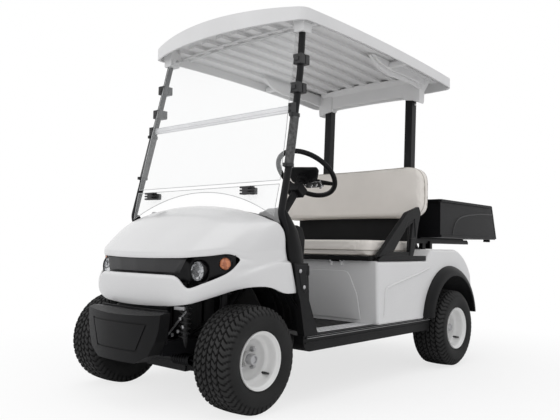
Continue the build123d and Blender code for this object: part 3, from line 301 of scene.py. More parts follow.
def plate(bm, outline, low, high, place):
    """Closed outline pushed from low to high; place(point, distance) puts a point in the frame."""
    ends = [[bm.verts.new(place(p, d)) for p in outline] for d in (low, high)]
    cap(bm, ends)
    skin(bm, ends)


PUSH = {
    "x": lambda p, d: from_axle(d, p[0], p[1]),
    "y": lambda p, d: from_axle(p[0], d, p[1]),
    "z": lambda p, d: from_axle(p[0], p[1], d),
}


def prism(bm, outline, axis, low, high):
    """Closed outline pushed along an axis. Axis x takes (y, z) points, y takes (x, z) and z takes (x, y)."""
    plate(bm, outline, low, high, PUSH[axis])


def across(half, steps):
    """Evenly spaced values from one side to the other."""
    return [-half + 2 * half * k / steps for k in range(steps + 1)]


def turns(count):
    """Angles that divide a full turn."""
    return [2 * pi * k / count for k in range(count)]


def ring_sweep(bm, points, radius, sides=12, closed=False):
    """Round bar along points."""
    pts = [from_axle(*p) for p in points]
    rings = []
    ref = None
    for i, p in enumerate(pts):
        a = pts[i - 1] if i or closed else p
        b = pts[(i + 1) % len(pts)] if i < len(pts) - 1 or closed else p
        d = (b - a).normalized()
        if ref is None:
            ref = d.orthogonal().normalized()
        ref = (ref - d * ref.dot(d)).normalized()
        other = d.cross(ref)
        rings.append([bm.verts.new(p + radius * (cos(t) * ref + sin(t) * other)) for t in turns(sides)])
    if closed:
        rings.append(rings[0])
    skin(bm, rings)
    if not closed:
        cap(bm, rings)


def turned(bm, profile, frame_at, sides=48, ripple=lambda turn, along: 0):
    """Profile of (radius, along) points turned about the Z axis of a placed frame."""
    rings = []
    for radius, along in profile:
        ring = [(radius * (1 + ripple(t, along)), t) for t in turns(sides)]
        rings.append([bm.verts.new(frame_at @ Vector((r * cos(t), r * sin(t), along))) for r, t in ring])
    skin(bm, rings)
    return rings


def closed_turn(bm, profile, frame_at, sides=32):
    cap(bm, turned(bm, profile, frame_at, sides))


def spun(bm, profile, centre, axis, sides):
    """Closed profile of (along, radius) points turned about an axis, x or z, through centre."""
    at = Matrix.Translation(from_axle(*centre))
    if axis == "x":
        at @= Matrix(((0, 0, 1), (1, 0, 0), (0, 1, 0))).to_4x4()
    closed_turn(bm, [(radius, along) for along, radius in profile], at, sides)


def lerp(table, t):
    """Piecewise linear value from a table of (t, value...) rows."""
    for a, b in zip(table, table[1:]):
        if t <= b[0]:
            f = 0 if b[0] == a[0] else max(0, (t - a[0]) / (b[0] - a[0]))
            return [p + (q - p) * f for p, q in zip(a[1:], b[1:])]
    return list(table[-1][1:])


# ---- Cowl: hood, nose and fenders in one moulding ----
# columns: nose plan x, y, height of the bottom edge
PLAN = ((0, -.275, .434), (.13, -.269, .437), (.235, -.251, .442), (.262, -.244, .445), (.285, -.236, .448),
        (.31, -.226, .452), (.328, -.217, .455), (.365, -.194, .467), (.402, -.166, .482), (.435, -.135, .496),
        (.462, -.101, .51), (.484, -.066, .52), (.508, -.015, .53), (.532, .062, .53), (.548, .108, .509),
        (.553, .14, .494), (.553, .17, .497))
# columns: x, top of the lower nose
NOSE_TOP = ((0, .575), (.235, .574), (.262, .572), (.285, .557), (.31, .523), (.328, .519), (.365, .537),
            (.402, .554), (.435, .573), (.462, .594), (.484, .641), (.508, .64), (.532, .642), (.553, .645))
# columns: x, lower lip of the hood
HOOD_LIP = ((0, .641), (.132, .642), (.289, .646), (.402, .657), (.435, .664), (.462, .668), (.484, .649),
            (.508, .65), (.532, .655), (.553, .66))
# columns: x, ridge along the top of the fender's flare
RIDGE = ((.365, .5), (.435, .536), (.462, .552), (.484, .571), (.508, .592), (.532, .618), (.548, .627),
         (.553, .629))
# columns: x of the lip, crest x, y, z
CREST = ((0, 0, .1, .893), (.13, .145, .1, .887), (.262, .29, .1, .868), (.328, .362, .1, .853),
         (.402, .43, .098, .837), (.462, .484, .096, .82), (.484, .504, .096, .814), (.508, .52, .098, .809),
         (.532, .53, .102, .804), (.548, .536, .106, .8), (.553, .538, .11, .797))


def cowl_rows(i):
    """Points of one station, from the crest over the hood's lip and the band down to the bottom edge."""
    x, y, low = PLAN[i]
    top, = lerp(NOSE_TOP, x)
    lip, = lerp(HOOD_LIP, x)
    ridge, = lerp(RIDGE, x)
    cx, cy, cz = lerp(CREST, x)
    before, after = PLAN[max(0, i - 1)], PLAN[min(len(PLAN) - 1, i + 1)]
    out = Vector((after[1] - before[1], before[0] - after[0], 0)).normalized() if i else Vector((0, -1, 0))
    side = max(0, min(1, (x - .484) / .03))      # 0 at the nose, 1 on the fender
    inset = .024 * (1 - side) + .016 * side
    lx, ly = x - out.x * inset, y - out.y * inset

    def moved(px, py, by, z):
        """Point moved out of the nose by a distance."""
        return px + out.x * by, py + out.y * by, z

    if i == len(PLAN) - 1:
        lx -= .005
        cx -= .003
    rows = []
    for t in (1, .93, .8, .62, .42, .22, .06, 0):
        g = 1 - (1 - t) ** 1.5
        bulge = .016 * sin(pi * t) * (1 - abs(x) / .6)
        rows.append((lx + (cx - lx) * t + side * .008 * sin(pi * t), ly + (cy - ly) * t,
                     lip + .028 + (cz - lip - .028) * g + bulge * .3))
    if side == 0:
        foot, drop = (.009, .04) if x > .47 else (0, .012)
        rows += [(lx, ly, lip + .024), moved(lx, ly, .003, lip + .008), moved(lx, ly, .001, lip),
                 moved(x, y, -.012, top), moved(x, y, -.004, top - .002), moved(x, y, -foot, top - drop)]
    else:
        span = lip + .024 - (ridge + .012)
        rows += [(lx, ly, lip + .024 - span * f) for f in (0, .3, .5, .7, .85)]
        rows.append(moved(lx, ly, .001, ridge + .012))
    k = 1 - side * .8
    for f, tuck in ((.35, .001), (.7, .006), (.92, .014), (1, .02)):
        z = top - .012 + (low - top + .012) * f if x < .365 else ridge + (low - ridge) * (f - .35) / .65
        rows.append(moved(x, y, -tuck * k, z))
    rows.append(moved(x, y, -.032, low + .003))
    return rows


# columns: height, y of the fender's rear edge, how far back the station before it lies
REAR_EDGE = ((.48, .222, .075), (.5, .218, .074), (.56, .196, .06), (.629, .174, .04), (.7, .156, .028),
             (.764, .14, .018), (.797, .112, .006), (.81, .112, .006))
HOOD_EDGE_ROW = 10          # the faces below it are left out, over the band
RIDGE_ROW = 14
LAST_OPEN = 11              # stations that the lamp opening spans
CREASES = {8: .35, 10: .9, 11: .9, 13: .35, RIDGE_ROW: .5, 17: .7}


def cowl():
    table = [cowl_rows(i) for i in range(len(PLAN))]
    for before_end, row in ((0, table[-1]), (1, table[-2])):
        for k, (px, _, pz) in enumerate(row):
            edge, back = lerp(REAR_EDGE, pz)
            row[k] = (px, edge - back * before_end, pz)
    full = [[(-p[0], p[1], p[2]) for p in row] for row in table[:0:-1]] + table
    m = len(full[0])
    middle = len(PLAN) - 1
    faces = []
    for i in range(len(full) - 1):
        for j in range(m - 1):
            if j != HOOD_EDGE_ROW or min(abs(i - middle), abs(i + 1 - middle)) >= LAST_OPEN:
                faces.append((i * m + j, i * m + j + 1, (i + 1) * m + j + 1, (i + 1) * m + j))
    mesh = bpy.data.meshes.new("cowl_moulding")
    mesh.from_pydata([from_axle(*p) for row in full for p in row], [], faces)
    mesh.materials.append(MAT["white_body"])
    mesh.materials.append(MAT["black_plastic"])
    mesh.shade_smooth()
    bm = bmesh.new()
    bm.from_mesh(mesh)
    bmesh.ops.recalc_face_normals(bm, faces=bm.faces)
    crease = bm.edges.layers.float.new("crease_edge")
    bm.verts.ensure_lookup_table()
    for e in bm.edges:
        a, b = (v.index % m for v in e.verts)
        if a == b and a in CREASES and not (a == RIDGE_ROW and abs(e.verts[0].co.x) < .45):
            e[crease] = CREASES[a]
    bm.to_mesh(mesh)
    bm.free()
    moulding = put("cowl_moulding", mesh)
    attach(moulding, "chassis")
    shell = moulding.modifiers.new("wall", "SOLIDIFY")
    shell.thickness, shell.offset, shell.material_offset = .005, -1, 1
    shell.edge_crease_outer = shell.edge_crease_inner = .6
    smooth = moulding.modifiers.new("smooth", "SUBSURF")
    smooth.levels = smooth.render_levels = 2
    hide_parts("front_cowl")


cowl()


# ---- Tyres ----
TYRE_R = .226
PITCHES = 48                # tread blocks round the tyre
STEPS_ROUND = 480
CROWN_HALF = .082
GROOVES = (0, .029, .06)   # distances of the grooves round the tyre from its middle
# columns: across, radius, from the bead to the shoulder
SIDE_WALL = ((-.074, .108), (-.0795, .1125), (-.086, .1165), (-.0885, .1225), (-.093, .13), (-.0985, .142),
             (-.1018, .158), (-.1028, .172), (-.1015, .183), (-.0985, .193), (-.0945, .201), (-.089, .209))


def crown_radius(x):
    shoulder = .009 * ((abs(x) - .075) / .01) ** 1.3 if abs(x) > .075 else 0
    return TYRE_R - .0035 * (x / .075) ** 2 - shoulder


def tread_depth(x, r, turn):
    """How deep the rubber is cut at a place: zigzag blocks, shoulder blocks and raised side wall rings."""
    if r > .2:
        zig = abs(((abs(x) / .0165) % 2) - 1)
        lateral = (turn * PITCHES + .62 * zig + (.5 if x > 0 else 0)) % 1
        depth = .0055 if lateral < .27 else .0
        if min(abs(abs(x) - g) for g in GROOVES) < .003:
            depth = .0065
        return depth * .9 if abs(x) > CROWN_HALF else depth
    if .183 < r <= .201:
        return .0025 if (turn * PITCHES) % 1 < .3 else 0
    return -.0008 if .155 < r < .16 else .0


def tyre_mesh():
    """Tyre about the X axis."""
    crown = [(x, crown_radius(x)) for x in across(CROWN_HALF, 56)]
    profile = [*SIDE_WALL, *crown, *((-x, r) for x, r in SIDE_WALL[::-1])]
    verts, faces, grooves = [], [], []
    m = len(profile)
    for i in range(STEPS_ROUND):
        angle = 2 * pi * i / STEPS_ROUND
        j = (i + 1) % STEPS_ROUND
        for k, (x, r) in enumerate(profile):
            depth = tread_depth(x, r, i / STEPS_ROUND)
            # Painted shade in the cut grooves, plus .4 of darker rubber tone on the side walls.
            grooves.append(max(0, min(1, depth / .005)) + (.4 if r < .201 else 0))
            verts.append((x, (r - depth) * cos(angle), (r - depth) * sin(angle)))
            n = (k + 1) % m
            faces.append((i * m + k, j * m + k, j * m + n, i * m + n))
    mesh = bpy.data.meshes.new("tyre_tread")
    mesh.from_pydata(verts, [], faces)
    mesh.materials.append(MAT["tread"])
    mesh.attributes.new("groove_shade_wall_tone", "FLOAT", "POINT").data.foreach_set("value", grooves)
    return smoothed(mesh, 40)


tread = tyre_mesh()
# columns: node ending, x, y from the front axle
WHEELS = (("front_left", .4515, 0), ("front_right", -.4515, 0), ("rear_left", .5175, 1.67),
          ("rear_right", -.5175, 1.67))
for end, x, y in WHEELS:
    tyre = put("tread_" + end, tread)
    tyre.location = from_axle(x, y, AXLE_Z)
    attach(tyre, "wheel_" + end)
    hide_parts("tyre_" + end)


# ---- Cushions ----
PULL = .004                 # how far a pad starts inside its box
VOXEL = .0055
SWELL = .012                # most that a point of a pad moves under pressure


def pad_form(bm, low, high, corner):
    """Crowned slab in a box, with its four corners rounded as seen from its broad side."""
    bmesh.ops.create_cube(bm, size=1)
    bmesh.ops.subdivide_edges(bm, edges=bm.edges, cuts=10, use_grid_fill=True)
    centre = Vector([(a + b) / 2 for a, b in zip(low, high)])
    size = Vector([b - a - 2 * PULL for a, b in zip(low, high)])
    flat = min(range(3), key=lambda k: size[k])
    a, b = [k for k in range(3) if k != flat]
    for v in bm.verts:
        q = [sin(pi * v.co[k]) * size[k] / 2 for k in range(3)]
        straight = [size[k] / 2 - corner for k in (a, b)]
        u, w = abs(q[a]) - straight[0], abs(q[b]) - straight[1]
        if u > 0 and w > 0:
            shrink = max(u, w) / (u * u + w * w) ** .5
            for k, part, past in zip((a, b), straight, (u, w)):
                q[k] = (part + past * shrink) * (1 if q[k] > 0 else -1)
        v.co = centre + Vector(q)


def blow_up(pad, low, high):
    """Press the pad outward with a cloth simulation, kept inside its box."""
    rest = [v.co.copy() for v in pad.data.vertices]
    cloth = pad.modifiers.new("cloth", "CLOTH")
    cloth.settings.use_pressure = True
    cloth.settings.uniform_pressure_force = 4
    cloth.settings.quality = 5
    cloth.settings.effector_weights.gravity = 0
    for f in range(1, 21):
        scene.frame_set(f)
    shown = pad.evaluated_get(bpy.context.evaluated_depsgraph_get()).to_mesh()
    moved = [v.co.copy() for v in shown.vertices]
    pad.modifiers.remove(cloth)
    for v, a, b in zip(pad.data.vertices, rest, moved):
        step = b - a
        if step.length > SWELL:
            step *= SWELL / step.length
        spot = a + step
        v.co = [min(max(spot[k], low[k]), high[k]) for k in range(3)]
    scene.frame_set(1)


def cushion(name, body, replaced, corner):
    """Pad in the place of a node's box."""
    low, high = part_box(replaced)
    pad = put(name, bpy.data.meshes.new(name))
    bm = bmesh.new()
    pad_form(bm, low, high, corner)
    bm.to_mesh(pad.data)
    bm.free()
    pad.data.materials.append(MAT["seat_vinyl"])
    bpy.context.view_layer.objects.active = pad
    pad.select_set(True)
    edge = pad.modifiers.new("edge", "BEVEL")
    edge.width, edge.segments, edge.limit_method = .022, 3, "ANGLE"
    voxels = pad.modifiers.new("voxels", "REMESH")
    voxels.mode, voxels.voxel_size = "VOXEL", VOXEL
    for m in list(pad.modifiers):
        bpy.ops.object.modifier_apply(modifier=m.name)
    blow_up(pad, low, high)
    pad.modifiers.new("soft", "SMOOTH").iterations = 4
    bpy.ops.object.modifier_apply(modifier="soft")
    pad.data.shade_smooth()
    pad.select_set(False)
    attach(pad, body)
    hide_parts(replaced)
    return pad


seat_pad = cushion("seat_pad", "seat_lid", "seat_cushion", .055)
back_pad = cushion("back_pad", "chassis", "seat_back", .09)


# ---- Lamps and the band between them ----
def facing(x, y, z, turn=0):
    """Frame whose Z axis points forward, turned outward by an angle."""
    aim = Matrix.Rotation(radians(turn), 4, "Z") @ Matrix.Rotation(pi / 2, 4, "X")
    return Matrix.Translation(from_axle(x, y, z)) @ aim


def polar_lens(bm, frame_at, radius, height, cells, sides=48, rings=12):
    """Domed lens whose face is pressed into small square cells."""
    def circle(r, lift):
        spots = [(r * cos(t), r * sin(t)) for t in turns(sides)]
        return [bm.verts.new(frame_at @ Vector((u, v, lift(u, v)))) for u, v in spots]

    rows = []
    for i in range(1, rings + 1):
        r = radius * i / rings
        dome = height * (1 - (r / radius) ** 2)
        rows.append(circle(r, lambda u, v: dome + .0011 * abs(sin(u * cells) * sin(v * cells))))
    tip = bm.verts.new(frame_at @ Vector((0, 0, height)))
    rows.append(circle(radius, lambda u, v: -.004))
    for k in range(sides):
        bm.faces.new((tip, rows[0][k], rows[0][(k + 1) % sides]))
    skin(bm, rows)
    bm.faces.new(rows[-1][::-1])


HEAD = facing(.324, -.164, .592)
TURN = facing(.429, -.106, .625, 24)


@piece("reflector", replaces="headlamps", both=True)
def head_reflector(bm):
    turned(bm, ((.0405, .002), (.04, -.001), (.036, -.006), (.028, -.01), (.016, -.0115), (.002, -.012)), HEAD, 60,
           lambda turn, along: .035 * (1 if sin(10 * turn) > 0 else -1) if along < -.004 else 0)
    turned(bm, ((.002, 0), (.007, -.001), (.009, -.005), (.009, -.012)), HEAD, 20)


@piece("head_glass", both=True)
def head_lens(bm):
    polar_lens(bm, HEAD, .0402, .008, 420)


@piece("gloss_black", both=True)
def lamp_bezel(bm):
    closed = ((.0405, -.006), (.0405, .004), (.0425, .006), (.0455, .005), (.0475, -.001), (.0475, -.01))
    turned(bm, closed + closed[:1], HEAD, 60)
    ring = ((.0255, -.006), (.0255, .003), (.027, .005), (.0295, .004), (.031, -.004))
    turned(bm, ring + ring[:1], TURN, 48)


@piece("lamp_amber", replaces="turn_lamps", both=True)
def turn_lens(bm):
    polar_lens(bm, TURN, .0254, .008, 130, rings=10)


@piece("satin_black")
def mask_panel(bm):
    """Middle of the mask: a slightly raised satin panel with slanted ends."""
    rows = []
    for u in across(1, 40):
        row = []
        for z, half in ((.578, .252), (.583, .254), (.64, .285), (.6445, .286)):
            edge = .006 if z in (.578, .6445) or abs(u) == 1 else 0
            row.append((u * half, lerp(PLAN, abs(u * half))[0] + .0345 + edge, z))
        rows.append(row)
    sheet(bm, rows)


# ---- Clear screens, their clips and the bar across ----
SLOPE = (.318 - .172) / (1.752 - 1.045)


def screen_y(z):
    """Station of the screen's rear face at a height."""
    return .172 + (z - 1.045) * SLOPE - .021


def clear_sheet(bm, outline):
    plate(bm, outline, 0, .005, lambda p, d: from_axle(p[0], screen_y(p[1]) - d, p[1]))


UPPER = [(-.511, .994), (.511, .994), (.502, 1.2), (.468, 1.69), (.448, 1.716), (-.448, 1.716), (-.468, 1.69),
         (-.502, 1.2)]
LOWER = [(x, .959 - .15 * (abs(x) / .55) ** 2.05) for x in across(.505, 36)]
LOWER += [(.5105, .976), (-.5105, .976)]


@piece("clear_screen", replaces="windscreen_upper")
def screen_upper(bm):
    clear_sheet(bm, UPPER)


@piece("clear_screen", replaces="windscreen_lower")
def screen_lower(bm):
    clear_sheet(bm, LOWER)


@piece("sheet_edge")
def screen_edges(bm):
    """Polished edges of the sheets, drawn as thin opaque grey lines: painted light and shade of the clear edges."""
    for outline in (UPPER, LOWER):
        ring_sweep(bm, [(x, screen_y(z) - .0025, z) for x, z in outline], .0015, sides=6, closed=True)


@piece("clip_grey", replaces="windscreen_clips", bevel=.004, both=True)
def screen_clips(bm):
    # columns: half width, station, height
    for x, y, z in ((.497, .291, 1.569), (.504, .264, 1.429)):
        brick(bm, about(x, .025), (y - .034, y - .002), about(z, .024))
        brick(bm, about(x, .026), (y + .001, y + .029), about(z, .023))
        brick(bm, about(x, .012), (y - .04, y - .034), about(z, .01))
    for low in (.933, .947, .961):
        brick(bm, (.316, .386), (.08, .11), (low, low + .009))
    brick(bm, (.33, .366), (.082, .15), (.936, .967))


def strut_at(z):
    """Middle of the strut, x and y, at a height."""
    t = (z - 1.51) / (1.045 - 1.51)
    return .503 + t * .025, .275 - t * .103


@piece("bare_aluminium", replaces="crossbar", bevel=.0008)
def bar_channel(bm):
    face = ((.2205, 1.312), (.234, 1.312), (.234, 1.344), (.2205, 1.344), (.2235, 1.341), (.2235, 1.331),
            (.2205, 1.3285), (.2205, 1.3245), (.2235, 1.322), (.2235, 1.315))
    prism(bm, face, "x", -.497, .497)


@piece("clip_grey", bevel=.0015, both=True)
def bar_brackets(bm):
    brick(bm, (.492, .528), (.206, .2205), (1.304, 1.352))
    for z in (1.316, 1.34):
        closed_turn(bm, ((.0065, 0), (.0065, .004), (.004, .006)), facing(.5, .2065, z), 6)
    for z in (1.296, 1.062):
        x, y = strut_at(z)
        spun(bm, ((-.008, .0215), (-.008, .0235), (.008, .0235), (.008, .0215)), (x, y, z), "z", 24)
        brick(bm, about(x, .006), (y - .036, y - .02), about(z, .008))


@piece("mottled", both=True)
def strut_sleeve(bm):
    ring_sweep(bm, [(*strut_at(z), z) for z in (1.3, 1.22, 1.14, 1.06)], .0208, sides=24)


# ---- Strut feet, dash end and the dark insides of the front arches ----
@piece("black_plastic", both=True)
def strut_boot(bm):
    """Moulded boot that widens down the strut from the dash to the fender."""
    rows = []
    # columns: height, y and its half width, x and its half width
    for z, y, half_y, x, half_x in ((.858, .136, .018, .531, .018), (.82, .16, .03, .53, .022),
                                    (.77, .192, .042, .53, .024), (.7, .214, .046, .532, .025),
                                    (.64, .226, .046, .534, .024), (.6, .232, .042, .536, .022)):
        rows.append([(x + half_x * cos(t), y + half_y * sin(t), z) for t in turns(24)])
    sheet(bm, rows, closed=True)


@piece("black_metal", bevel=.004, both=True)
def strut_foot(bm):
    brick(bm, (.535, .5615), (.196, .286), (.588, .622))
    brick(bm, (.546, .563), (.274, .292), (.572, .618))
    prism(bm, ((.214, .6), (.264, .6), (.286, .512), (.262, .494), (.236, .512)), "x", .548, .5625)


@piece("bolt", both=True)
def foot_bolts(bm):
    for y, z in ((.226, .594), (.254, .522)):
        spun(bm, ((.56, .009), (.564, .009), (.566, .0065), (.568, .003)), (0, y, z), "x", 12)


@piece("grey_plastic", bevel=.01, both=True)
def dash_lobe(bm):
    outline = ((.335, .8), (.335, .858), (.362, .862), (.39, .874), (.44, .876), (.462, .88), (.47, .85),
               (.47, .8))
    prism(bm, outline, "y", .186, .214)


@piece("black_plastic", replaces="wheel_liners", both=True)
def arch_lining(bm):
    """Dark inner fender above and behind the front tyre, inside the cowl's lower edge."""
    rows = []
    # columns: y, outer half width, height of the fender's edge
    for y, x, z in ((-.11, .395, .545), (-.05, .44, .55), (.02, .468, .55), (.06, .49, .546),
                    (.11, .508, .532), (.15, .52, .512), (.19, .534, .487), (.229, .545, .442),
                    (.255, .547, .392), (.268, .548, .345), (.272, .548, .304)):
        rows.append([(x, y, z), (x - .02, y, z + .014), (.42, y, z + .026), (.3, y, z + .03)])
    sheet(bm, rows)
    for x in (.4, .44, .48, .52):
        prism(bm, ((.15, .524), (.202, .486), (.24, .43), (.262, .35), (.27, .35), (.256, .44), (.209, .512),
                   (.15, .538)), "x", x, x + .006)


# ---- Roof: cross beam, side rails and sockets ----
@piece("roof_white", replaces="roof_beam", bevel=.006)
def roof_cross_beam(bm):
    rows = []
    # columns: half width, lower edge, crease, upper edge of the beam's front
    for x, low, crease, top in ((-.366, 1.66, 1.748, 1.772), (-.2, 1.667, 1.753, 1.786), (0, 1.669, 1.756, 1.794),
                                (.2, 1.667, 1.753, 1.786), (.366, 1.66, 1.748, 1.772)):
        rows.append([(x, y, z) for y, z in ((1.645, low), (1.6, low), (1.592, low + .006), (1.59, crease),
                                            (1.556, top), (1.645, top + .004))])
    sheet(bm, rows, closed=True)


@piece("roof_white", bevel=.005, both=True)
def roof_side_rails(bm):
    prism(bm, ((.285, 1.66), (.292, 1.648), (.35, 1.64), (.392, 1.622), (.398, 1.64), (.4, 1.7), (.44, 1.762),
               (.44, 1.776), (.285, 1.778)), "y", 1.584, 1.65)
    prism(bm, ((1, 1.786), (1.05, 1.752), (1.1, 1.728), (1.195, 1.71), (1.28, 1.712), (1.45, 1.712), (1.6, 1.7),
               (1.6, 1.78)), "x", .392, .412)
    prism(bm, ((1, 1.786), (1.05, 1.764), (1.1, 1.745), (1.195, 1.732), (1.28, 1.734), (1.6, 1.726), (1.6, 1.78)),
          "x", .412, .432)
    brick(bm, (.412, .53), (1.165, 1.2), (1.742, 1.772))


@piece("roof_white", bevel=.008, both=True)
def roof_sockets(bm):
    brick(bm, (.45, .51), (.284, .352), (1.706, 1.756))
    brick(bm, (.438, .452), (.296, .338), (1.716, 1.752))


@piece("bolt", both=True)
def socket_bolts(bm):
    spun(bm, ((.431, .0035), (.433, .008), (.439, .008)), (0, .318, 1.735), "x", 12)
    for z in (1.668, 1.69):
        spun(bm, ((.346, .0035), (.348, .007), (.353, .007)), (0, 1.618, z - .05), "x", 12)


@piece("roof_white")
def roof_front_ribs(bm):
    """Cross ribs in the smooth front part of the roof's underside."""
    for y in (.42, .47):
        ring_sweep(bm, [(x, y, 1.7745 + .03 * (1 - (x / .6) ** 2)) for x in across(.5, 20)], .006, sides=8)


# ---- Dash, firewall and the dark parts behind the bumper ----
@piece("satin_black", replaces="dash", bevel=.003)
def dash_pad(bm):
    rows = []
    for x in across(.47, 24):
        top = lerp([(p[1], p[3]) for p in CREST], abs(x))[0] - .006 - .5 * max(0, abs(x) - .42)
        rows.append([(x, y, z) for y, z in (
            (.13, .79), (.13, top - .012), (.14, top), (.2, top - .004), (.29, top - .024), (.35, top - .052),
            (.362, top - .075), (.358, .762), (.3, .718), (.205, .708), (.14, .742))])
    sheet(bm, rows, closed=True)


@piece("black_plastic", bevel=.006, both=True)
def dash_sides(bm):
    prism(bm, ((.216, .64), (.226, .78), (.262, .8), (.3, .79), (.322, .74), (.316, .64)), "x", .468, .51)
    brick(bm, (.5, .531), (.17, .262), (.69, .716))
    brick(bm, (-.4, -.12), (.352, .366), (.742, .8))
    brick(bm, (.3, .43), (.352, .366), (.752, .8))


@piece("bolt", bevel=.001)
def dash_controls(bm):
    """Key switch, selector and two rocker switches on the dash."""
    closed_turn(bm, ((.016, 0), (.016, .004), (.012, .007), (.004, .007)), facing(.15, .366, .786, 180), 24)
    brick(bm, (.146, .154), (.369, .388), (.778, .794))
    for x in (.07, .03):
        brick(bm, about(x, .014), (.364, .371), (.774, .798))
    closed_turn(bm, ((.02, 0), (.02, .003), (.016, .01)), facing(-.06, .366, .788, 180), 28)


@piece("black_plastic", bevel=.002)
def firewall(bm):
    prism(bm, ((.3, .33), (.306, .33), (.25, .52), (.205, .715), (.198, .715), (.244, .518)), "x", -.5, .5)
    for x in (-.28, -.14, 0, .14):
        prism(bm, ((.306, .35), (.311, .35), (.256, .52), (.215, .7), (.208, .7), (.25, .52)), "x", x, x + .05)


@piece("black_metal", bevel=.003)
def front_bulkhead(bm):
    brick(bm, (-.235, .235), (.096, .104), (.15, .56))
    for x in (-.16, -.05, .06, .16):
        brick(bm, about(x, .015), (.088, .098), (.2, .52))
    brick(bm, (-.17, .17), (-.205, -.185), (.3, .44))
    brick(bm, (-.235, .235), (-.25, -.242), (.285, .425))


@piece("clip_grey", both=True)
def front_coils(bm):
    """Rods with their coils, seen behind the bumper."""
    ring_sweep(bm, ((.238, -.15, .44), (.205, -.13, .25)), .014, sides=14)
    coil = []
    for t in [k / 84 for k in range(85)]:
        a = 2 * pi * 6 * t
        coil.append((.236 - .028 * t + .022 * cos(a), -.148 + .016 * t + .022 * sin(a), .43 - .13 * t))
    ring_sweep(bm, coil, .0042, sides=8)


@piece("bolt", bevel=.001)
def front_rods(bm):
    ring_sweep(bm, ((.257, -.165, .418), (.1, -.165, .272)), .0045, sides=10)
    for x, y, z in ((.248, -.172, .352), (.212, -.168, .33), (.228, -.17, .385), (.182, -.172, .312)):
        closed_turn(bm, ((.009, 0), (.009, .006), (.005, .009)), facing(x, y, z), 6)
    brick(bm, (.226, .288), (-.206, -.196), (.426, .441))


# ---- Wall behind the lamps and the band ----
# columns: x, y
WALL = ((0, -.236), (.2, -.2215), (.25, -.211), (.262, -.17), (.3, -.157), (.324, -.152), (.36, -.14),
        (.4, -.113), (.43, -.094), (.45, -.08), (.464, -.062), (.474, -.03))


@piece("gloss_black", replaces="light_mask")
def mask_wall(bm):
    rows = []
    for x in across(.456, 60):
        y, = lerp(WALL, abs(x))
        low = lerp(NOSE_TOP, abs(x))[0] - .022
        high = lerp(HOOD_LIP, abs(x))[0] + (.012 if abs(x) < .43 else -.008)
        rows.append([(x, y + .012, low - .01), (x, y, low), (x, y, high), (x, y + .012, high + .01)])
    sheet(bm, rows)


# ---- Steering wheel and column ----
TILT = radians(50)
WHEEL_AT = (Matrix.Translation((.27, .62 + SHIFT, 1.083))
            @ Matrix(((1, 0, 0, 0), (0, -sin(TILT), cos(TILT), 0), (0, cos(TILT), sin(TILT), 0), (0, 0, 0, 1))))


def on_wheel(x, y, z):
    """Point of the steering wheel's own frame: Y towards its top, Z towards the driver."""
    return WHEEL_AT @ Vector((x, y, z))


@piece("black_plastic", "steering_wheel", replaces="steering_wheel", bevel=.0015)
def wheel_rim(bm):
    """Rim of the wheel with two flat spokes that dip to the hub."""
    tube = [(.162 + .013 * cos(2 * pi * k / 20), .013 * sin(2 * pi * k / 20)) for k in range(21)]
    turned(bm, tube, WHEEL_AT, 96)
    for angle in (-32, 212):
        at = WHEEL_AT @ Matrix.Rotation(radians(angle), 4, "Z")
        plate(bm, ((.02, -.046), (.155, -.009), (.157, .002), (.125, -.006), (.02, -.032)), -.02, .02,
              lambda p, d: at @ Vector((p[0], d * (1 - p[0] / .3), p[1])))
    closed_turn(bm, ((.032, -.055), (.034, -.034), (.03, -.026)), WHEEL_AT, 48)
    closed_turn(bm, ((.015, -.094), (.015, -.05)), WHEEL_AT, 24)


@piece("black_plastic", "steering_wheel", bevel=.01, segments=3)
def wheel_pad(bm):
    """Padded centre, wider at the top."""
    outline = ((-.03, .07), (.11, .056), (.112, .03), (.06, -.04), (.02, -.062), (-.06, -.06), (-.095, -.02),
               (-.08, .06))
    plate(bm, outline, -.034, -.012, lambda p, d: on_wheel(*p, d))


@piece("bolt", "steering_wheel", bevel=.001)
def wheel_trim(bm):
    turned(bm, ((.012, -.0155), (.014, -.0125), (.017, -.0125), (.019, -.0155)), WHEEL_AT, 36)
    for x in (-.044, .044):
        brick(bm, about(x, .006), (-.03, -.022), (-.016, -.0122), on_wheel)


@piece("black_plastic", replaces="steering_column", bevel=.006, segments=3)
def column_jacket(bm):
    """Jacket, switch pod and the shaft down to the rack's pinion."""
    closed_turn(bm, ((.02, -.88), (.02, -.078)), WHEEL_AT, 32)
    foot = WHEEL_AT @ Vector((0, 0, -.88))
    ring_sweep(bm, ((foot.x, foot.y - SHIFT, foot.z), (.078, -.09, .243)), .008, sides=12)
    brick(bm, (-.046, .04), (-.034, .028), (-.146, -.092), on_wheel)


@piece("chrome", "steering_wheel", bevel=.0015)
def column_key(bm):
    for x, y, half in ((.003, -.026, .007), (.028, -.048, .006), (.06, -.045, .009), (.087, -.058, .006)):
        brick(bm, (x - half, x + half), about(y, .004), (-.056, -.048), on_wheel)
    brick(bm, (-.01, .1), (-.06, -.02), (-.047, -.036), on_wheel)


# ---- Seat trim ----
@piece("black_plastic", "seat_lid", bevel=.001)
def seat_lip(bm):
    prism(bm, ((.838, .6328), (.8405, .6328), (.8435, .652), (.85, .6545), (.85, .657), (.838, .657)), "x",
          -.516, .516)


def rounded_ring(x, y, z, corner, axis, n=8):
    """Closed rounded rectangle; axis is the direction it faces."""
    a, b = (x, y) if axis == "z" else (x, z)
    points = []
    for cx, cy, start in ((a[1] - corner, b[1] - corner, 0), (a[0] + corner, b[1] - corner, 90),
                          (a[0] + corner, b[0] + corner, 180), (a[1] - corner, b[0] + corner, 270)):
        for k in range(n + 1):
            t = radians(start + 90 * k / n)
            u, w = cx + corner * cos(t), cy + corner * sin(t)
            points.append((u, w, z[0]) if axis == "z" else (u, y[0], w))
    return points


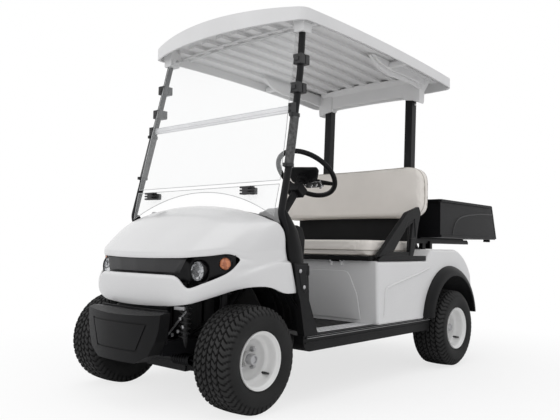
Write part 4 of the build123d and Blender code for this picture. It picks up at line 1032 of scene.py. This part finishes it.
def on_pad(pad, ring, lift=.0008):
    """Ring of points, finely divided and laid on a pad's surface."""
    fine = []
    for a, b in zip(ring, ring[1:] + ring[:1]):
        a, b = Vector(a), Vector(b)
        cuts = max(1, round((b - a).length / .02))
        fine += [a + (b - a) * k / cuts for k in range(cuts)]
    laid = []
    for p in fine:
        _, spot, normal, _ = pad.closest_point_on_mesh(from_axle(*p))
        laid.append(spot + normal * lift - Vector((0, SHIFT, 0)))
    for _ in range(3):
        laid = [(laid[k - 1] + laid[k] * 2 + laid[(k + 1) % len(laid)]) / 4 for k in range(len(laid))]
    return laid


@piece("seam", "seat_lid")
def seat_piping(bm):
    for z, radius in ((.688, .0032), (.66, .003)):
        ring = rounded_ring((-.5135, .5135), (.8515, 1.3335), (z,), .058, "z")
        ring_sweep(bm, on_pad(seat_pad, ring), radius, sides=8, closed=True)


@piece("seam")
def back_piping(bm):
    for y, radius in ((1.383, .0032), (1.432, .003)):
        ring = rounded_ring((-.5485, .5485), (y,), (.8775, 1.1885), .085, "y")
        ring_sweep(bm, on_pad(back_pad, ring), radius, sides=8, closed=True)


@piece("black_plastic", bevel=.005, both=True)
def arm_frames(bm):
    """Bevelled arm frames with a second inner web."""
    top = ((1.326, .902), (1.303, .94), (1.168, .902), (1.095, .84), (.915, .694))
    prism(bm, ((.865, .636), (1.228, .634), (1.245, .7), (1.262, .76), (1.212, .76), (1.196, .664), (.915, .664)),
          "x", .53, .556)
    prism(bm, ((.865, .65), (.915, .664), (1.03, .69), (1.15, .8), (1.175, .846), (1.25, .868), (1.262, .76)) + top,
          "x", .53, .556)
    prism(bm, ((1.186, .69), (1.2, .69), (1.214, .835), (1.202, .838)), "x", .538, .548)


# ---- Rear body trim ----
@piece("white_body", bevel=.0025, segments=3)
def seat_front_panel(bm):
    right = ((.109, .576), (.337, .578), (.366, .572), (.383, .554), (.429, .451), (.45, .321))
    prism(bm, right + tuple((-x, z) for x, z in right[::-1]), "y", .8592, .87)
    for v in bm.verts:      # the panel leans back towards its foot
        v.co.y += (.632 - v.co.z) * .0305


@piece("white_body", both=True)
def side_beads(bm):
    swage = ((.934, .345), (.938, .4), (.945, .472), (.96, .492), (1.016, .506), (1.16, .534), (1.31, .563),
             (1.42, .59))
    ring_sweep(bm, [(.5555, y, z) for y, z in swage], .0075, sides=10)
    ring_sweep(bm, [(.5548, y, .312) for y in (.878, 1.3, 1.348)], .004, sides=10)


@piece("black_plastic", both=True)
def rear_arch_lining(bm):
    """Dark wheel well behind the flare and a rolled edge on it."""
    rows = []
    for k in range(25):
        a = radians(9 + 162 * k / 24)
        y, z = 1.677 + .2705 * cos(a), .268 + .2705 * sin(a)
        rows.append([(x, y, z) for x in (.366, .43, .5, .594)])
    sheet(bm, rows)
    rim = [(.596, 1.677 + .2765 * cos(radians(a)), .268 + .2765 * sin(radians(a))) for a in range(8, 173, 6)]
    ring_sweep(bm, rim, .005, sides=10)


@piece("bare_aluminium", bevel=.001, both=True)
def scuff_plates(bm):
    brick(bm, (.424, .52), (.42, .985), (.304, .3065))


@piece("chrome", both=True)
def scuff_pattern(bm):
    for i in range(30):
        for j in range(5):
            wide, long = (.0065, .0022) if (i + j) % 2 else (.0022, .0065)
            brick(bm, about(.434 + .019 * j, wide), about(.432 + .0187 * i, long), (.306, .308))


# Painted highlights: light grey strips along the top edges of the sill's black beads.
@piece("bead_highlight", both=True)
def sill_bead_highlights(bm):
    for z, wide in ((.29, .0034), (.2985, .0016)):
        prism(bm, ((.5575, z), (.5618, z + .0006), (.5618, z + wide - .0006), (.5575, z + wide)), "y", .285, 1.424)


@piece("floor_mat", bevel=.001)
def mat_ribs(bm):
    for k in range(22):
        x = -.375 + .0357 * k
        brick(bm, about(x, .006), (.33, .85), (.3005, .304))


# ---- Cargo box trim ----
@piece("box_black", "cargo_bed", bevel=.002)
def box_rim(bm):
    for s in (-1, 1):
        prism(bm, ((s * .464, 1.004), (s * .479, 1), (s * .479, 1.0175), (s * .4615, 1.0175)), "y", 1.728, 2.508)
        prism(bm, ((s * .469, .776), (s * .477, .778), (s * .477, .79), (s * .469, .793)), "y", 1.732, 2.572)
    brick(bm, (-.47, .47), (1.721, 1.74), (1, 1.0175))
    for x in (-.28, 0, .28):
        brick(bm, about(x, .03), (1.7255, 1.732), (.8, .985))


# Raised beads and ribs of the black box, drawn in the lighter clip grey: a painted highlight along them.
@piece("clip_grey", "cargo_bed", bevel=.0008)
def box_beads(bm):
    arc = ((1.896, .779), (1.903, .8), (1.916, .838), (1.937, .868), (1.964, .89), (2, .907), (2.045, .919),
           (2.15, .934), (2.323, .949), (2.548, .954))
    for s in (-1, 1):
        ring_sweep(bm, [(s * .4695, y, z) for y, z in arc], .0052, sides=10)
    for k in range(9):
        x = -.4 + .1 * k
        brick(bm, about(x, .012), (1.76, 2.56), (.7825, .7865))


@piece("black_metal", bevel=.003, both=True)
def bed_feet(bm):
    brick(bm, (.29, .33), (1.86, 1.892), (.7, .752))
    brick(bm, (.318, .345), (1.56, 1.64), (.712, .738))


@piece("black_metal", "tailgate")
def tailgate_handle(bm):
    ring_sweep(bm, ((-.07, 2.6, .9), (-.07, 2.612, .9), (.07, 2.612, .9), (.07, 2.6, .9)), .0045,
               sides=10)


# ---- Wheel details ----
def rim_shape(bm):
    """Steel wheel about the X axis, outer face towards +X: rolled lips, stepped dish and hub."""
    lip = ((.084, .121), (.088, .1228), (.0925, .1228), (.096, .1213), (.096, .1194), (.0935, .1176))
    front = lip + ((.0885, .1152), (.084, .112), (.0815, .1085), (.079, .107), (.062, .1058), (.046, .103),
                   (.038, .0985), (.034, .09), (.03, .0865), (.02, .0845), (.01, .078), (.004, .067), (.002, .05),
                   (.002, .031), (.024, .03), (.024, .002))
    rear = tuple((-x, r) for x, r in lip) + (
        (-.084, .112), (-.079, .1068), (-.062, .1055), (-.03, .103), (-.016, .098), (-.012, .08), (-.01, .05),
        (-.01, .032), (-.046, .031), (-.046, .015))
    spun(bm, front[::-1] + rear, (0, -SHIFT, 0), "x", 72)


def rim_mesh():
    mesh = built_mesh("wheel_dish", "rim", rim_shape)
    # Painted shade: the dish gets darker from its lip in towards the hub.
    dish_shade = [max(0, min(1, (.1 - (v.co.y ** 2 + v.co.z ** 2) ** .5) / .055)) * .55 for v in mesh.vertices]
    mesh.attributes.new("dish_shade", "FLOAT", "POINT").data.foreach_set("value", dish_shade)
    return mesh


def stems(bm):
    a = radians(318)
    y, z = .096 * cos(a), .096 * sin(a)
    spun(bm, ((.03, .006), (.054, .0058), (.056, .0046), (.07, .0046), (.072, .003)), (0, y - SHIFT, z), "x", 12)


def nut_ring(bm):
    for k in range(4):
        a = radians(45 + 90 * k)
        y, z = .0508 * cos(a), .0508 * sin(a)
        spun(bm, ((.001, .012), (.012, .012), (.021, .0085), (.021, .0045)), (0, y - SHIFT, z), "x", 6)
    spun(bm, ((.023, .0235), (.05, .023), (.055, .0205), (.055, .015), (.05, .013), (.05, .001)),
         (0, -SHIFT, 0), "x", 40)


# columns: name, mesh, slot; the dish comes last and replaces the node
WHEEL_BITS = (("stem_", built_mesh("valve_stem", "satin_black", stems), "black_plastic"),
              ("nuts_", built_mesh("wheel_nuts", "bolt", nut_ring), "bare_aluminium"),
              ("dish_", rim_mesh(), "rim"))
for end, x, y in WHEELS:
    for kind, mesh, slot in WHEEL_BITS:
        bit = put(kind + end, mesh)
        bit.matrix_world = Matrix.Translation(from_axle(x, y, AXLE_Z)) @ Matrix.Rotation(0 if x > 0 else pi, 4, "Z")
        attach(bit, "wheel_" + end)
    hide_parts("rim_" + end)


# ---- Floor, lights and background ----
def stage_floor():
    m = bpy.data.meshes.new("floor")
    m.from_pydata([(-30, -30, 0), (30, -30, 0), (30, 30, 0), (-30, 30, 0)], [], [(0, 1, 2, 3)])
    floor = put("floor", m)
    mat, tree, shader = nodes_of("floor")
    feed(shader, {"Base Color": (.93, .93, .93, 1), "Roughness": .9, "Specular IOR Level": .1})
    # seen by the camera, the floor fades to the white background away from the object
    far = feed(node(tree, "VectorMath", operation="LENGTH"), {0: node(tree, "TexCoord").outputs["Object"]})
    fade = feed(node(tree, "MapRange"),
                {"Value": far.outputs["Value"], "From Min": .9, "From Max": 2.6, "To Min": .72})
    seen = feed(node(tree, "Math", operation="MULTIPLY"),
                {0: fade.outputs["Result"], 1: node(tree, "LightPath").outputs["Is Camera Ray"]})
    blend = feed(node(tree, "MixShader"),
                 {"Fac": seen.outputs[0], 1: shader.outputs[0], 2: node(tree, "Emission").outputs[0]})
    feed(tree.nodes["Material Output"], {"Surface": blend.outputs[0]})
    m.materials.append(mat)


def studio():
    """White where the camera, a reflection or a clear sheet looks, and a little darker as a light."""
    world = bpy.data.worlds.new("studio")
    scene.world = world
    world.use_nodes = True
    tree = world.node_tree
    tree.nodes.clear()
    path = node(tree, "LightPath")
    seen = path.outputs["Is Camera Ray"]
    for ray in ("Is Transmission Ray", "Is Glossy Ray"):
        seen = feed(node(tree, "Math", operation="MAXIMUM"), {0: seen, 1: path.outputs[ray]}).outputs[0]
    fill = node(tree, "Background", Color=(.75, .75, .76, 1))
    white = node(tree, "Background", Color=(1, 1, 1, 1))
    mix = feed(node(tree, "MixShader"), {"Fac": seen, 1: fill.outputs[0], 2: white.outputs[0]})
    feed(node(tree, "OutputWorld"), {"Surface": mix.outputs[0]})


def soft_light(name, at, size, power):
    data = bpy.data.lights.new(name, "AREA")
    data.shape = "RECTANGLE"
    data.size, data.size_y, data.energy = size[0], size[1], power
    lamp = put(name, data)
    lamp.location = at
    lamp.rotation_euler = (Vector((0, 0, .8)) - Vector(at)).to_track_quat("-Z", "Y").to_euler()


stage_floor()
studio()
soft_light("overhead", (.5, -1, 5.5), (5, 5), 70)
soft_light("front", (-1.5, -6, 3), (4, 3), 30)
